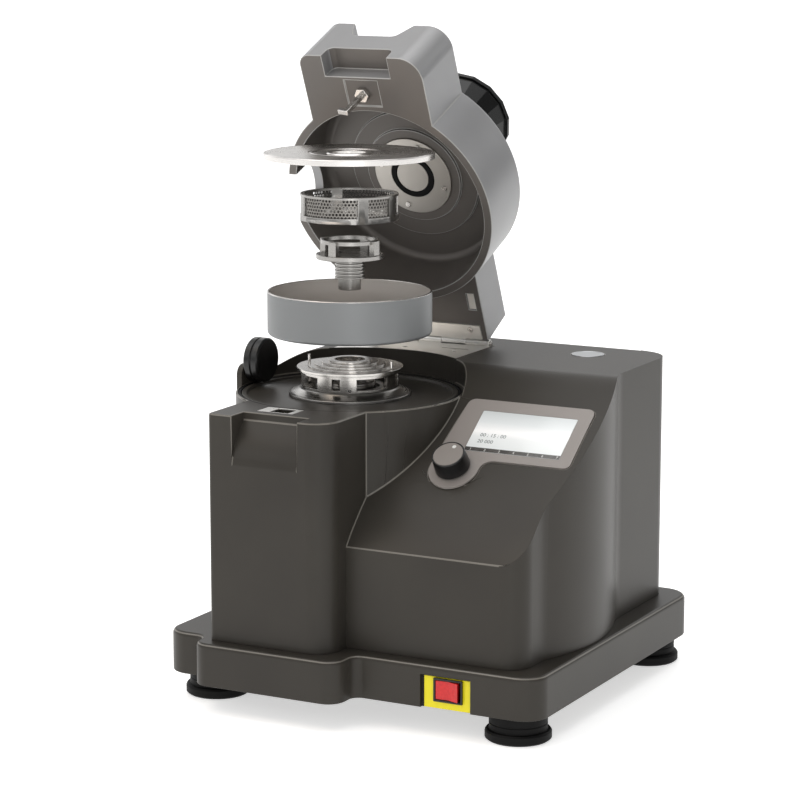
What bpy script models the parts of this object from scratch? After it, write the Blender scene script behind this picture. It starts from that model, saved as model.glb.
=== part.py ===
"""Rotor mill, a bench-top laboratory mill, with its lid open and its grinding set lifted out.

Lengths are in metres and +Z is up. The pieces are modelled about the axis of the grinding
chamber, with the floor at Z = 0, and with the lid closed and the grinding set seated. Empties
then open the lid, lift the loose pieces along the chamber axis and centre the whole machine.
"""
import bpy
import bmesh
from math import atan2, cos, pi, radians, sin, sqrt, tan
from mathutils import Matrix, Vector
from mathutils.geometry import interpolate_bezier

# Fits and facets shared by every piece
GAP = 0.0003
OVERRUN = 0.004
WELD = 0.00001
ROUND_STEPS = 36
HIDDEN_STEPS = 20
SMALL_STEPS = 14
TINY_STEPS = 8
CORNER_STEPS = 4
FLAT_ANGLE = radians(0.05)
SMOOTH_ANGLE = radians(35)

# Heights of the machine's main levels
PLINTH_BASE = 0.0277
PLINTH_TOP = 0.0707
DECK = 0.2995
PLATEAU_RISE = 0.0245
PLATEAU = DECK + PLATEAU_RISE

# Plinth
PLINTH_LEFT = -0.127
PLINTH_RIGHT = 0.2832
PLINTH_REAR = 0.2365
PLINTH_FRONT = -0.151
PLINTH_FRONT_LEFT = -0.159
PLINTH_FRONT_CORNER = 0.025
PLINTH_REAR_CORNER = 0.029
PLINTH_EDGE = 0.005
BUMP_LEFT = -0.078
BUMP_RIGHT = 0.087
BUMP_FRONT = -0.188
BUMP_CORNER = 0.018
BUMP_FILLET = 0.010
TRAY_FLOOR = 0.006

# Feet, set in from the plinth's sides
FOOT_INSET = 0.0365
PAD_R = 0.0325
PAD_HEIGHT = 0.0105
PAD_EDGE = 0.002
STEM_R = 0.0285

# Chamber column and the cylinder behind it
CYLINDER_R = 0.116
COLUMN_HALF = 0.069
COLUMN_REACH = 0.056
COLUMN_FRONT = -CYLINDER_R - COLUMN_REACH
COLUMN_CORNER = 0.025
RIM_EDGE = 0.0015
RECESS_LEFT = -0.037
RECESS_RIGHT = 0.036
RECESS_INSET = 0.024
RECESS_BACK = COLUMN_FRONT + RECESS_INSET
RECESS_DROP = 0.008
RECESS_DEPTH = 0.044

# Main block beside and behind the column
BLOCK_FRONT = -0.134
BLOCK_RIGHT = 0.2585
BLOCK_REAR = 0.2295
BLOCK_LEFT_INSET = 0.003
BLOCK_LEFT = BLOCK_LEFT_INSET - CYLINDER_R
BLOCK_FRONT_CORNER = 0.024
BLOCK_REAR_CORNER = 0.035
BULGE_R = 0.205
BULGE_PEAK = 0.0181
BULGE_REACH = 0.100
BULGE_SOFTNESS = 0.003
BULGE_STEPS = 12
WELL_MARGIN = 0.0015
WELL_R = CYLINDER_R + WELL_MARGIN
SHOULDER_START = -0.080
SHOULDER_END = -0.118
SHOULDER_DROP = 0.022
SHOULDER_STEPS = 5

# Sloping top: it rises from the front face and rounds over into the plateau
SLOPE_FOOT = 0.1725
SLOPE_TOP_Y = 0.0792
SLOPE_RISE_ANGLE = radians(54.4)
SLOPE_FOOT_PULL = 0.0491
SLOPE_TOP_PULL = 0.0412
SLOPE_STEPS = 14

# Hollows of the moulding
MOULD_WALL = 0.012
SLOPE_COVER_SHARE = 1.4
DECK_FLOOR = 0.014
REAR_BAY_COVER = 0.028
MOTOR_BAY_R = 0.098

# Deck fittings
FLOOR_WELL_DEPTH = 0.0056
SEAL_INSET = 0.0025
SEAL_WIDTH = 0.003
SEAL_OUTER_R = CYLINDER_R - SEAL_INSET
SEAL_INNER_R = SEAL_OUTER_R - SEAL_WIDTH
FLOOR_WELL_R = SEAL_OUTER_R + GAP
FLOOR_RIM_WIDTH = 0.0052
FLOOR_RIM_DROP = 0.0006
FLOOR_THICKNESS = 0.002
FLOOR_CHAMFER = 0.0012
DECK_BORE_R = 0.034
STRIKE_LEFT = -0.028
STRIKE_RIGHT = 0.012
STRIKE_INSET = 0.0005
STRIKE_REAR = STRIKE_INSET - CYLINDER_R
STRIKE_THICKNESS = 0.0015

# Ear on the left of the deck, and the black plug fixed to it
EAR_STANDOFF = 0.012
EAR_LEFT = -CYLINDER_R - EAR_STANDOFF
EAR_THICKNESS = 0.007
EAR_HALF = 0.022
EAR_FOOT_DROP = 0.034
EAR_FOOT = DECK - EAR_FOOT_DROP
EAR_TOP_RISE = 0.020
EAR_TOP = DECK + EAR_TOP_RISE
EAR_ROOT = 0.006
EAR_SADDLE_GAP = 0.0007
PLUG_R = 0.023
PLUG_THICKNESS = 0.0155
PLUG_GROOVE = 0.0012
PLUG_HEIGHT = 0.0235
PLUG_EDGE = 0.0015

# Hub: a flange, a cage of pillars and a stepped top plate
HUB_FLANGE_R = 0.0623
HUB_FLANGE_EDGE = 0.0024
HUB_FLANGE_RISE = 0.0061
HUB_FLANGE_SHOULDER = 0.0036
CAGE_R = 0.0495
CAGE_INNER_R = 0.0430
CAGE_RAIL = 0.0022
CAGE_WINDOWS = 8
CAGE_PILLAR = 0.0085
CAGE_TOP_RISE = 0.0217
CAGE_TOP = DECK + CAGE_TOP_RISE
HUB_PLATE_R = 0.054
HUB_PLATE_LIP = 0.0012
HUB_PLATE_TOP_RISE = 0.026
HUB_PLATE_TOP = DECK + HUB_PLATE_TOP_RISE
HUB_STEP_R = (0.0435, 0.0365, 0.0290, 0.0220)
HUB_STEP_RISE = 0.0017
HUB_BORE_R = 0.0155
PIN_CIRCLE_R = 0.0474
PIN_R = 0.0015
PIN_HEIGHT = 0.008

# Drive below and inside the hub
CARRIER_R = 0.0300
CARRIER_CHAMFER = 0.0015
SLEEVE_CLEARANCE = 0.0009
CARRIER_HEAD_R = 0.0260
CARRIER_TOP_RISE = 0.0115
CARRIER_TOP = DECK + CARRIER_TOP_RISE
CARRIER_BASE_DROP = 0.032
CARRIER_BASE = DECK - CARRIER_BASE_DROP
BEARING_R = 0.0210
BEARING_WIDTH = 0.018
BEARING_TOP_DROP = 0.004
BEARING_TOP = DECK - BEARING_TOP_DROP
BEARING_LIP = 0.0100
SHAFT_R = 0.0100
SHAFT_NOSE_R = 0.0077
SHAFT_NOSE_BASE_DROP = 0.001
SHAFT_NOSE_BASE = DECK - SHAFT_NOSE_BASE_DROP
SHAFT_TOP_RISE = 0.024
SHAFT_TOP = DECK + SHAFT_TOP_RISE
SHAFT_BASE_DROP = 0.070
SHAFT_BASE = DECK - SHAFT_BASE_DROP
MOTOR_PLATE_R = 0.080
MOTOR_PLATE_THICKNESS = 0.011
MOTOR_R = 0.062
MOTOR_LENGTH = 0.150
MOTOR_END_R = 0.040
MOTOR_END_LENGTH = 0.014
MOTOR_BORE_DEPTH = 0.046

# Collecting pan, which hangs by its inner lip on the hub's top plate
PAN_R = 0.0834
PAN_BASE_RISE = 0.008
PAN_BASE = DECK + PAN_BASE_RISE
PAN_HEIGHT = 0.0443
PAN_WALL = 0.0020
PAN_INNER_R = 0.0555
PAN_LIP_R = 0.0503
PAN_TRAVEL = 0.0510
PAN_FLOOR_FILLET = 0.004

# Rotor
ROTOR_SLEEVE_R = 0.0115
ROTOR_SLEEVE_BASE_RISE = 0.0015
ROTOR_SLEEVE_BASE = DECK + ROTOR_SLEEVE_BASE_RISE
ROTOR_NECK_R = 0.0150
ROTOR_NECK_BASE_RISE = 0.0130
ROTOR_NECK_BASE = DECK + ROTOR_NECK_BASE_RISE
ROTOR_NECK_TOP_RISE = 0.0302
ROTOR_NECK_TOP = DECK + ROTOR_NECK_TOP_RISE
ROTOR_RIBS = 5
ROTOR_RIB_DEPTH = 0.0012
ROTOR_BORE_R = 0.0081
ROTOR_FLANGE_R = 0.0340
ROTOR_FLANGE_BASE_RISE = 0.0332
ROTOR_FLANGE_BASE = DECK + ROTOR_FLANGE_BASE_RISE
ROTOR_FLANGE_TOP_RISE = 0.0379
ROTOR_FLANGE_TOP = DECK + ROTOR_FLANGE_TOP_RISE
ROTOR_RING_R = 0.0290
ROTOR_RING_WALL = 0.0030
ROTOR_RING_HEIGHT = 0.0040
ROTOR_TOP_RISE = 0.0528
ROTOR_TOP = DECK + ROTOR_TOP_RISE
ROTOR_BLADES = 4
ROTOR_BLADE_WIDTH = 0.0090
ROTOR_BLADE_DEPTH = 0.0075
ROTOR_BLADE_TURN = radians(-4)
ROTOR_BLADE_ROOT = 0.0002
RIB_SLOPE_SHARE = 0.6
RIB_VALLEY_SHARE = 0.9
ROTOR_TRAVEL = 0.1026

# Sieve ring
SIEVE_R = 0.0495
SIEVE_WALL = 0.0043
SIEVE_BASE = HUB_PLATE_TOP + GAP
SIEVE_HEIGHT = 0.0265
SIEVE_SILL = 0.0056
SIEVE_RAIL = 0.0022
SIEVE_POST = 0.0110
SIEVE_POST_ANGLES = [radians(angle) for angle in (0, 45, 135, 180, 225, 315)]
SIEVE_PIN_HOLE_R = 0.0019
SCREEN_THICKNESS = 0.0008
SCREEN_SEAT = 0.0020
SIEVE_TRAVEL = 0.1491

# Cover of the pan
COVER_R = 0.0860
COVER_BASE = SIEVE_BASE + SIEVE_HEIGHT + GAP
COVER_THICKNESS = 0.0033
COVER_SKIRT = 0.0026
COVER_SKIRT_WALL = 0.0021
COVER_RING_R = 0.0380
COVER_DISH = 0.0012
COVER_NECK_R = 0.0220
COVER_MOUTH_R = 0.0170
COVER_TRAVEL = 0.1864

# Lid, measured up from the deck when closed
HINGE_Y = 0.181
HINGE_Z_RISE = 0.027
HINGE_Z = DECK + HINGE_Z_RISE
LID_OPEN = radians(66.5)
LID_TOP_RISE = 0.0775
LID_TOP = DECK + LID_TOP_RISE
LID_FRONT_INSET = 0.003
LID_FRONT = COLUMN_FRONT + LID_FRONT_INSET
LID_REAR = 0.1768
LID_EDGE = 0.009
LID_EDGE_STEPS = 3
LID_NOSE_CORNER = 0.025
LID_TAIL_BASE_RISE = 0.001
LID_TAIL_BASE = PLATEAU + LID_TAIL_BASE_RISE
LID_TAIL_CHAMFER_Y = 0.173
LID_TAIL_CHAMFER_Z_RISE = 0.032
LID_TAIL_CHAMFER_Z = DECK + LID_TAIL_CHAMFER_Z_RISE
LID_WALL = 0.009
LID_DRAFT = 0.0015
LID_CAVITY_R = CYLINDER_R - LID_WALL
LID_CAVITY_TOP_R = LID_CAVITY_R - LID_DRAFT
LID_CEILING_RISE = 0.066
LID_CEILING = DECK + LID_CEILING_RISE
LID_CEILING_FILLET = 0.008
LID_STEP_R = (0.0726, 0.0537)
LID_STEP_DROP = 0.0030
LID_INLET_R = 0.0205
LID_NOTCH_HALF = 0.0275
LID_POCKET_LEFT = -0.042
LID_POCKET_RIGHT = 0.032
LID_POCKET_DEPTH = 0.024
LID_POCKET_HEIGHT = 0.0186
LID_POCKET_CORNER = 0.007
LID_GRIP_LEFT = -0.043
LID_GRIP_RIGHT = 0.033
LID_GRIP_FLOOR_RISE = 0.047
LID_GRIP_FLOOR = DECK + LID_GRIP_FLOOR_RISE
LID_GRIP_SLANT = 0.014
LID_GRIP_CORNER = 0.008

# Inner plate of the lid, its inlet disc, seal and screws
INNER_PLATE_R = 0.0440
INNER_PLATE_THICKNESS = 0.0017
INLET_DISC_R = 0.0182
INLET_DISC_PROUD = 0.0004
INLET_SEAL_R = 0.0245
INLET_SEAL_PROUD = 0.0009
INLET_SEAL_SEAT = 0.0010
PLATE_SCREW_CIRCLE_R = 0.0365
PLATE_SCREWS = 4
PLATE_SCREW_TURN = radians(20)
PLATE_SCREW_R = 0.0032
PLATE_SCREW_HEIGHT = 0.0009

# Latch: a hexagonal boss on the lid's nose and the bolt that drops into the column
LATCH_X = -0.0028
LATCH_REACH = 0.010
LATCH_Y = -CYLINDER_R - LATCH_REACH
LATCH_RECESS_HALF = 0.019
LATCH_RECESS_REAR = 0.0135
LATCH_RECESS_FRONT = 0.0155
LATCH_RECESS_DEPTH = 0.0015
BOSS_ACROSS = 0.014
BOSS_HEIGHT = 0.0055
BOLT_WIDTH = 0.0060
BOLT_DEPTH = 0.0050
BOLT_LENGTH = 0.041
BOLT_HOOK = 0.0065
BOLT_HOOK_HEIGHT = 0.0070
SOCKET_MARGIN = 0.0015
SOCKET_DEPTH = 0.0070
SOCKET_SWING = 0.0020
SLOT_MARGIN = 0.0022
SLOT_SWING = 0.0070
SLOT_DEPTH = 0.046

# Hinge: two leaves let into the plateau and the lid's tail, on one pin
LEAF_HALF = 0.072
KNUCKLE_INSET = 0.002
HINGE_HALF = LEAF_HALF - KNUCKLE_INSET
LEAF_THICKNESS = 0.0017
LEAF_ARC_MARGIN = 0.0020
LEAF_BACK = 0.181
BARREL_R = 0.0042
BARREL_BORE_R = 0.0024
BARREL_KNUCKLES = 5
BARREL_CLEARANCE = 0.0005
PIN_ROD_R = 0.0020
PIN_HEAD_R = 0.0023
PIN_HEAD = 0.0015
TROUGH_R = 0.0050
LEAF_SLOT_LEFT = 0.028
LEAF_SLOT_RIGHT = 0.060
LEAF_SLOT_Y = 0.149
LEAF_SLOT_WIDTH = 0.0035
LEAF_SCREW_R = 0.0030
LEAF_SCREW_HEAD = 0.0014
LEAF_SCREW_X = (-0.055, -0.008, 0.050)
LEAF_SCREW_Y = 0.135
LID_LEAF_HALF = 0.062
LID_LEAF_FRONT = 0.1590
LID_LEAF_SCREW_X = (-0.050, 0.0, 0.050)
LID_LEAF_SCREW_Y = 0.1645

# Sensor plate under the lid's tail
SENSOR_LEFT = 0.0535
SENSOR_RIGHT = 0.0618
SENSOR_FRONT = 0.120
SENSOR_REAR = 0.139
SENSOR_THICKNESS = 0.0015
SENSOR_RECESS = 0.0015

# Feed funnel, which lifts out of the lid
FUNNEL_FACETS = 16
FUNNEL_TUBE_R = 0.0200
FUNNEL_BORE_R = 0.0170
FUNNEL_TUBE_BASE_RISE = 0.062
FUNNEL_TUBE_BASE = DECK + FUNNEL_TUBE_BASE_RISE
FUNNEL_CONE_BASE_RISE = 0.112
FUNNEL_CONE_BASE = DECK + FUNNEL_CONE_BASE_RISE
FUNNEL_CONE_TOP_RISE = 0.187
FUNNEL_CONE_TOP = DECK + FUNNEL_CONE_TOP_RISE
FUNNEL_CONE_R = 0.0490
FUNNEL_COLLAR_R = 0.0525
FUNNEL_TOP_RISE = 0.192
FUNNEL_TOP = DECK + FUNNEL_TOP_RISE
FUNNEL_WALL = 0.0025
FUNNEL_FOOT_R = 0.0270
FUNNEL_FOOT = 0.0030

# Control panel on the slope; a is along X and b climbs the slope
PANEL_Y = -0.013
PANEL_Z_DROP = 0.023
PANEL_Z = DECK - PANEL_Z_DROP
PANEL_ANGLE = radians(35.7)
PANEL_THICKNESS = 0.0022
PANEL_SUNK = 0.0014
PANEL_LEFT_TOP = 0.1285
PANEL_RIGHT = 0.2655
PANEL_TOP = 0.039
PANEL_BOTTOM = -0.041
PANEL_TOP_CORNER = 0.008
PANEL_BOTTOM_CORNER = 0.006
PANEL_LOBE_FILLET = 0.012
PANEL_LOBE_R = 0.027
SCREEN_LEFT = 0.1488
SCREEN_RIGHT = 0.2515
SCREEN_TOP = 0.0240
SCREEN_BOTTOM = -0.0306
SCREEN_CORNER = 0.001
SCREEN_GLASS = 0.0012

# Rotary knob with a push action
KNOB_A = 0.147
KNOB_B = -0.055
KNOB_R = 0.0178
KNOB_TOP_R = 0.0168
KNOB_HEIGHT = 0.0175
KNOB_EDGE = 0.0012
KNOB_PUSH = 0.0010
KNOB_LIFT = 0.0016
KNOB_CAP_R = 0.0152
KNOB_CAP_THICKNESS = 0.0012
KNOB_BORE_DEPTH = 0.010
SPINDLE_R = 0.0030
SPINDLE_LENGTH = 0.024
SPINDLE_BORE_MARGIN = 0.0005

# Mains switch in the front of the plinth
SWITCH_BAY_LEFT = 0.159
SWITCH_BAY_RIGHT = 0.213
SWITCH_BAY_RISE = 0.0333
SWITCH_BAY_TOP = PLINTH_BASE + SWITCH_BAY_RISE
SWITCH_BAY_DEPTH = 0.0050
SWITCH_PLATE_LEFT = 0.162
SWITCH_PLATE_RIGHT = 0.212
SWITCH_PLATE_TOP_RISE = 0.0318
SWITCH_PLATE_TOP = PLINTH_BASE + SWITCH_PLATE_TOP_RISE
SWITCH_PLATE_BASE_RISE = 0.0006
SWITCH_PLATE_BASE = PLINTH_BASE + SWITCH_PLATE_BASE_RISE
SWITCH_PLATE_THICKNESS = 0.0015
BEZEL_LEFT = 0.173
BEZEL_RIGHT = 0.204
BEZEL_TOP_RISE = 0.0313
BEZEL_TOP = PLINTH_BASE + BEZEL_TOP_RISE
BEZEL_BASE_RISE = 0.0078
BEZEL_BASE = PLINTH_BASE + BEZEL_BASE_RISE
BEZEL_PROUD = 0.0028
BEZEL_WALL = 0.0020
ROCKER_PIVOT_Y = PLINTH_FRONT + SWITCH_BAY_DEPTH
ROCKER_MARGIN = 0.0010
ROCKER_DISH = 0.0026
ROCKER_TILT = 0.00065
ROCKER_ROOT_SHARE = 0.75
ROCKER_DEPTH = 0.0090
ROCKER_THROW = radians(10)

# Small fittings
TOP_CAP_R = 0.0172
TOP_CAP_X = 0.1826
TOP_CAP_Y = 0.1819
TOP_CAP_THICKNESS = 0.0030
TOP_CAP_PROUD = 0.0006
TOP_CAP_EDGE = 0.0009
INLET_X = 0.200
INLET_Z = 0.110
INLET_WIDTH = 0.048
INLET_HEIGHT = 0.028
INLET_DEPTH = 0.022
INLET_PROUD = 0.0020
INLET_SOCKET_WALL = 0.0045
BOARD_LEFT = 0.075
BOARD_RIGHT = 0.225
BOARD_Y = 0.150
BOARD_BASE = PLINTH_BASE + TRAY_FLOOR + GAP
BOARD_HEIGHT = 0.160
BOARD_THICKNESS = 0.0016

# The whole machine is centred over the floor point under the middle of its bounding box
FUNNEL_REACH = (HINGE_Y - (HINGE_Y - FUNNEL_COLLAR_R) * cos(LID_OPEN)
                + (FUNNEL_TOP - HINGE_Z) * sin(LID_OPEN))
CENTRE_X = (PLINTH_RIGHT + EAR_LEFT) / 2
CENTRE_Y = (BUMP_FRONT + FUNNEL_REACH) / 2

for old in list(bpy.data.objects):
    bpy.data.objects.remove(old, do_unlink=True)

parts = bpy.data.collections.new("rotor_mill")
cutters = bpy.data.collections.new("cutters")
bpy.context.scene.collection.children.link(parts)
bpy.context.scene.collection.children.link(cutters)
materials = {}


def material(name, colour, roughness, metallic=0.0):
    """A plain finish: one Principled shader with the piece's colour."""
    finish = bpy.data.materials.new(name)
    finish.use_nodes = True
    shader = finish.node_tree.nodes["Principled BSDF"]
    shader.inputs["Base Color"].default_value = (*colour, 1.0)
    shader.inputs["Roughness"].default_value = roughness
    shader.inputs["Metallic"].default_value = metallic
    finish.diffuse_color = (*colour, 1.0)
    materials[name] = finish


def make_materials():
    material("housing_paint", (0.075, 0.070, 0.062), 0.5)
    material("lid_paint", (0.27, 0.27, 0.27), 0.4)
    material("rubber", (0.012, 0.012, 0.012), 0.7)
    material("black_plastic", (0.015, 0.015, 0.016), 0.45)
    material("steel", (0.62, 0.61, 0.59), 0.3, 1.0)
    material("aluminium", (0.55, 0.57, 0.60), 0.4, 1.0)
    material("grey_foil", (0.22, 0.21, 0.20), 0.5)
    material("display_glass", (0.60, 0.62, 0.63), 0.15)
    material("knob_grey", (0.30, 0.29, 0.28), 0.45)
    material("yellow_plate", (0.75, 0.60, 0.02), 0.5)
    material("red_switch", (0.55, 0.01, 0.01), 0.3)
    material("motor_grey", (0.20, 0.21, 0.22), 0.5, 0.3)
    material("board_green", (0.02, 0.14, 0.06), 0.5)


def empty(name, location, parent=None, turn=None):
    """A frame that carries pieces; it is not a piece itself."""
    frame = bpy.data.objects.new(name, None)
    parts.objects.link(frame)
    frame.parent = parent
    frame.location = location
    if turn:
        frame.rotation_euler = turn
    return frame


def part(name, mesh, finish, frame):
    """One sub-part of the machine, carried by its frame."""
    piece = bpy.data.objects.new(name, mesh)
    mesh.name = name
    mesh.materials.clear()
    mesh.materials.append(materials[finish])
    parts.objects.link(piece)
    carry(piece, frame)
    return piece


def carry(piece, frame):
    """Parents a piece modelled in the chamber frame, so that it follows what turns its frame."""
    piece.parent = frame
    if frame.name in rest_places:
        piece.matrix_parent_inverse = rest_places[frame.name]


def tool(name, mesh, frame):
    """A shape that only cuts or joins; it is kept apart from the parts."""
    shape = bpy.data.objects.new(name, mesh)
    mesh.name = name
    cutters.objects.link(shape)
    carry(shape, frame)
    shape.hide_render = True
    shape.display_type = "WIRE"
    return shape


def combine(target, shape, operation):
    boolean = target.modifiers.new(shape.name, "BOOLEAN")
    boolean.operation = operation
    boolean.object = shape
    boolean.solver = "EXACT"


def cut(target, shape):
    combine(target, shape, "DIFFERENCE")


def join(target, shape):
    combine(target, shape, "UNION")


def tidy_mesh(mesh, matrix=None):
    """Welds the seams, turns the faces outwards and drops edges inside flat faces."""
    work = bmesh.new()
    work.from_mesh(mesh)
    bmesh.ops.remove_doubles(work, verts=work.verts, dist=WELD)
    bmesh.ops.dissolve_degenerate(work, edges=work.edges, dist=WELD)
    bmesh.ops.dissolve_limit(work, angle_limit=FLAT_ANGLE, verts=work.verts, edges=work.edges)
    bmesh.ops.recalc_face_normals(work, faces=work.faces)
    if matrix:
        bmesh.ops.transform(work, matrix=matrix, verts=work.verts)
    if work.calc_volume(signed=True) < 0:
        bmesh.ops.reverse_faces(work, faces=work.faces)
    work.to_mesh(mesh)
    work.free()
    mesh.shade_smooth()
    mesh.set_sharp_from_angle(angle=SMOOTH_ANGLE)
    return mesh


def baked(guide):
    """The evaluated mesh of a helper object, which is then removed."""
    bpy.context.scene.collection.objects.link(guide)
    graph = bpy.context.evaluated_depsgraph_get()
    mesh = bpy.data.meshes.new_from_object(guide.evaluated_get(graph))
    bpy.data.objects.remove(guide, do_unlink=True)
    return mesh


ALONG_X = Matrix(((0, 0, 1, 0), (1, 0, 0, 0), (0, 1, 0, 0), (0, 0, 0, 1)))
ALONG_Y = Matrix(((1, 0, 0, 0), (0, 0, 1, 0), (0, 1, 0, 0), (0, 0, 0, 1)))


def slab(outlines, low, high, direction=None):
    """Fills flat outlines, holes included, and thickens them from low to high.

    The outline lies in XY, or in YZ with ALONG_X, or in XZ with ALONG_Y.
    """
    curve = bpy.data.curves.new("outline", "CURVE")
    curve.dimensions = "2D"
    curve.fill_mode = "BOTH"
    curve.extrude = (high - low) / 2
    for points in outlines:
        spline = curve.splines.new("POLY")
        spline.points.add(len(points) - 1)
        spline.use_cyclic_u = True
        for point, place in zip(spline.points, points):
            point.co = (place[0], place[1], 0, 1)
    mesh = baked(bpy.data.objects.new("outline", curve))
    lift = Matrix.Translation((0, 0, (low + high) / 2))
    return tidy_mesh(mesh, direction @ lift if direction else lift)


def box(low, high):
    """A plain block between two corners."""
    work = bmesh.new()
    bmesh.ops.create_cube(work, size=1)
    size = Matrix.Diagonal([top - base for base, top in zip(low, high)]).to_4x4()
    centre = Matrix.Translation([(base + top) / 2 for base, top in zip(low, high)])
    bmesh.ops.transform(work, matrix=centre @ size, verts=work.verts)
    mesh = bpy.data.meshes.new("box")
    work.to_mesh(mesh)
    work.free()
    return mesh


def turned(profile, steps=ROUND_STEPS, centre=(0, 0, 0), direction=None):
    """Spins a closed profile of (radius, height) points about the upright axis through centre."""
    mesh = bpy.data.meshes.new("profile")
    points = [(radius, 0, height) for radius, height in profile]
    edges = [(index, (index + 1) % len(points)) for index in range(len(points))]
    mesh.from_pydata(points, edges, [])
    guide = bpy.data.objects.new("profile", mesh)
    screw = guide.modifiers.new("turn", "SCREW")
    screw.axis = "Z"
    screw.steps = steps
    screw.render_steps = steps
    screw.use_merge_vertices = True
    screw.merge_threshold = WELD
    place = Matrix.Translation(centre)
    return tidy_mesh(baked(guide), place @ direction if direction else place)


def rod(radius, low, high, steps=SMALL_STEPS, centre=(0, 0, 0), direction=None):
    """A plain round bar."""
    return turned([(0, low), (0, high), (radius, high), (radius, low)], steps, centre, direction)


def arc(radius, start, end, steps, centre=(0, 0)):
    """Points on a circle from one angle to another, both ends included."""
    turns = [start + (end - start) * step / steps for step in range(steps + 1)]
    return [(centre[0] + radius * cos(turn), centre[1] + radius * sin(turn)) for turn in turns]


def rounded(corners, steps=CORNER_STEPS):
    """An outline of straight sides whose corners (x, y, radius) are rounded."""
    points = []
    for index, (x, y, radius) in enumerate(corners):
        here = Vector((x, y))
        before = Vector(corners[index - 1][:2]) - here
        after = Vector(corners[(index + 1) % len(corners)][:2]) - here
        if radius == 0:
            points.append((x, y))
            continue
        before.normalize()
        after.normalize()
        half = before.angle(after) / 2
        reach = radius / tan(half)
        centre = here + (before + after).normalized() * (radius / sin(half))
        first = here + before * reach - centre
        last = here + after * reach - centre
        start = atan2(first.y, first.x)
        sweep = atan2(last.y, last.x) - start
        sweep = (sweep + pi) % (2 * pi) - pi
        points += arc(radius, start, start + sweep, steps, centre)
    return points


def soften(piece, width, steps, chosen):
    """Rounds only the edges that a test picks by the places of their two ends."""
    mesh = piece.data
    weights = mesh.attributes.new("bevel_weight_edge", "FLOAT", "EDGE")
    for edge in mesh.edges:
        ends = [mesh.vertices[index].co for index in edge.vertices]
        weights.data[edge.index].value = float(all(chosen(end) for end in ends))
    bevel = piece.modifiers.new("soft edge", "BEVEL")
    bevel.limit_method = "WEIGHT"
    bevel.width = width
    bevel.segments = steps
    bevel.use_clamp_overlap = True


def at_height(height):
    return lambda place: abs(place.z - height) < WELD


def keyhole(front, corner, back_half=None):
    """Outline of the chamber cylinder with the straight-sided nose in front of it."""
    side_angle = atan2(sqrt(CYLINDER_R ** 2 - COLUMN_HALF ** 2), COLUMN_HALF)
    nose = rounded([(-COLUMN_HALF, front, corner), (COLUMN_HALF, front, corner), (0, 0, 0)])[:-1]
    if not back_half:
        return nose + arc(CYLINDER_R, -side_angle, pi + side_angle, ROUND_STEPS * 3 // 4)
    right = arc(CYLINDER_R, -side_angle, side_angle, ROUND_STEPS // 3)
    left = arc(CYLINDER_R, pi - side_angle, pi + side_angle, ROUND_STEPS // 3)
    return nose + right + [(COLUMN_HALF, back_half), (-COLUMN_HALF, back_half)] + left


def slope_line(drop=0.0):
    """The sloping top from its foot to the plateau, as (Y, Z) points, lowered by drop."""
    foot = Vector((BLOCK_FRONT, SLOPE_FOOT, 0))
    top = Vector((SLOPE_TOP_Y, PLATEAU, 0))
    rise = Vector((cos(SLOPE_RISE_ANGLE), sin(SLOPE_RISE_ANGLE), 0))
    level = Vector((SLOPE_TOP_PULL, 0, 0))
    line = interpolate_bezier(foot, foot + rise * SLOPE_FOOT_PULL, top - level, top, SLOPE_STEPS + 1)
    return [(point.x, point.y - drop) for point in line]


def bulge():
    """The right side of the block: a flat wall that swells outwards in the middle."""
    points = []
    for step in range(BULGE_STEPS + 1):
        y = -BULGE_REACH + 2 * BULGE_REACH * step / BULGE_STEPS
        swell = sqrt(BULGE_R ** 2 - y ** 2) - BULGE_R + BULGE_PEAK
        points.append((BLOCK_RIGHT + (swell + sqrt(swell ** 2 + BULGE_SOFTNESS ** 2)) / 2, y))
    return points


def plinth_outline(inset=0.0):
    return rounded([
        (PLINTH_LEFT + inset, PLINTH_REAR - inset, PLINTH_REAR_CORNER - inset),
        (PLINTH_LEFT + inset, PLINTH_FRONT_LEFT + inset, PLINTH_FRONT_CORNER - inset),
        (BUMP_LEFT, PLINTH_FRONT_LEFT + inset, BUMP_FILLET),
        (BUMP_LEFT, BUMP_FRONT, BUMP_CORNER),
        (BUMP_RIGHT, BUMP_FRONT, BUMP_CORNER),
        (BUMP_RIGHT, PLINTH_FRONT + inset, BUMP_FILLET),
        (PLINTH_RIGHT - inset, PLINTH_FRONT + inset, PLINTH_FRONT_CORNER - inset),
        (PLINTH_RIGHT - inset, PLINTH_REAR - inset, PLINTH_REAR_CORNER - inset)])


def make_plinth():
    """A tray with a front bump under the column and a bay for the mains switch."""
    plinth = part("base_plinth", slab([plinth_outline()], PLINTH_BASE, PLINTH_TOP), "housing_paint",
                  machine)
    soften(plinth, PLINTH_EDGE, 3, at_height(PLINTH_TOP))
    bay_back = PLINTH_FRONT + SWITCH_BAY_DEPTH
    bay = box((SWITCH_BAY_LEFT, PLINTH_FRONT - OVERRUN, PLINTH_BASE - OVERRUN),
              (SWITCH_BAY_RIGHT, bay_back, SWITCH_BAY_TOP))
    cut(plinth, tool("switch_bay", bay, machine))
    for shape in inner_bays():
        cut(plinth, shape)
    body_depth = (BEZEL_LEFT + BEZEL_WALL, BEZEL_RIGHT - BEZEL_WALL)
    shaft = box((body_depth[0], bay_back - OVERRUN, BEZEL_BASE + BEZEL_WALL),
                (body_depth[1], BLOCK_FRONT + MOULD_WALL + OVERRUN, BEZEL_TOP - BEZEL_WALL))
    cut(plinth, tool("switch_opening", shaft, machine))


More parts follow.
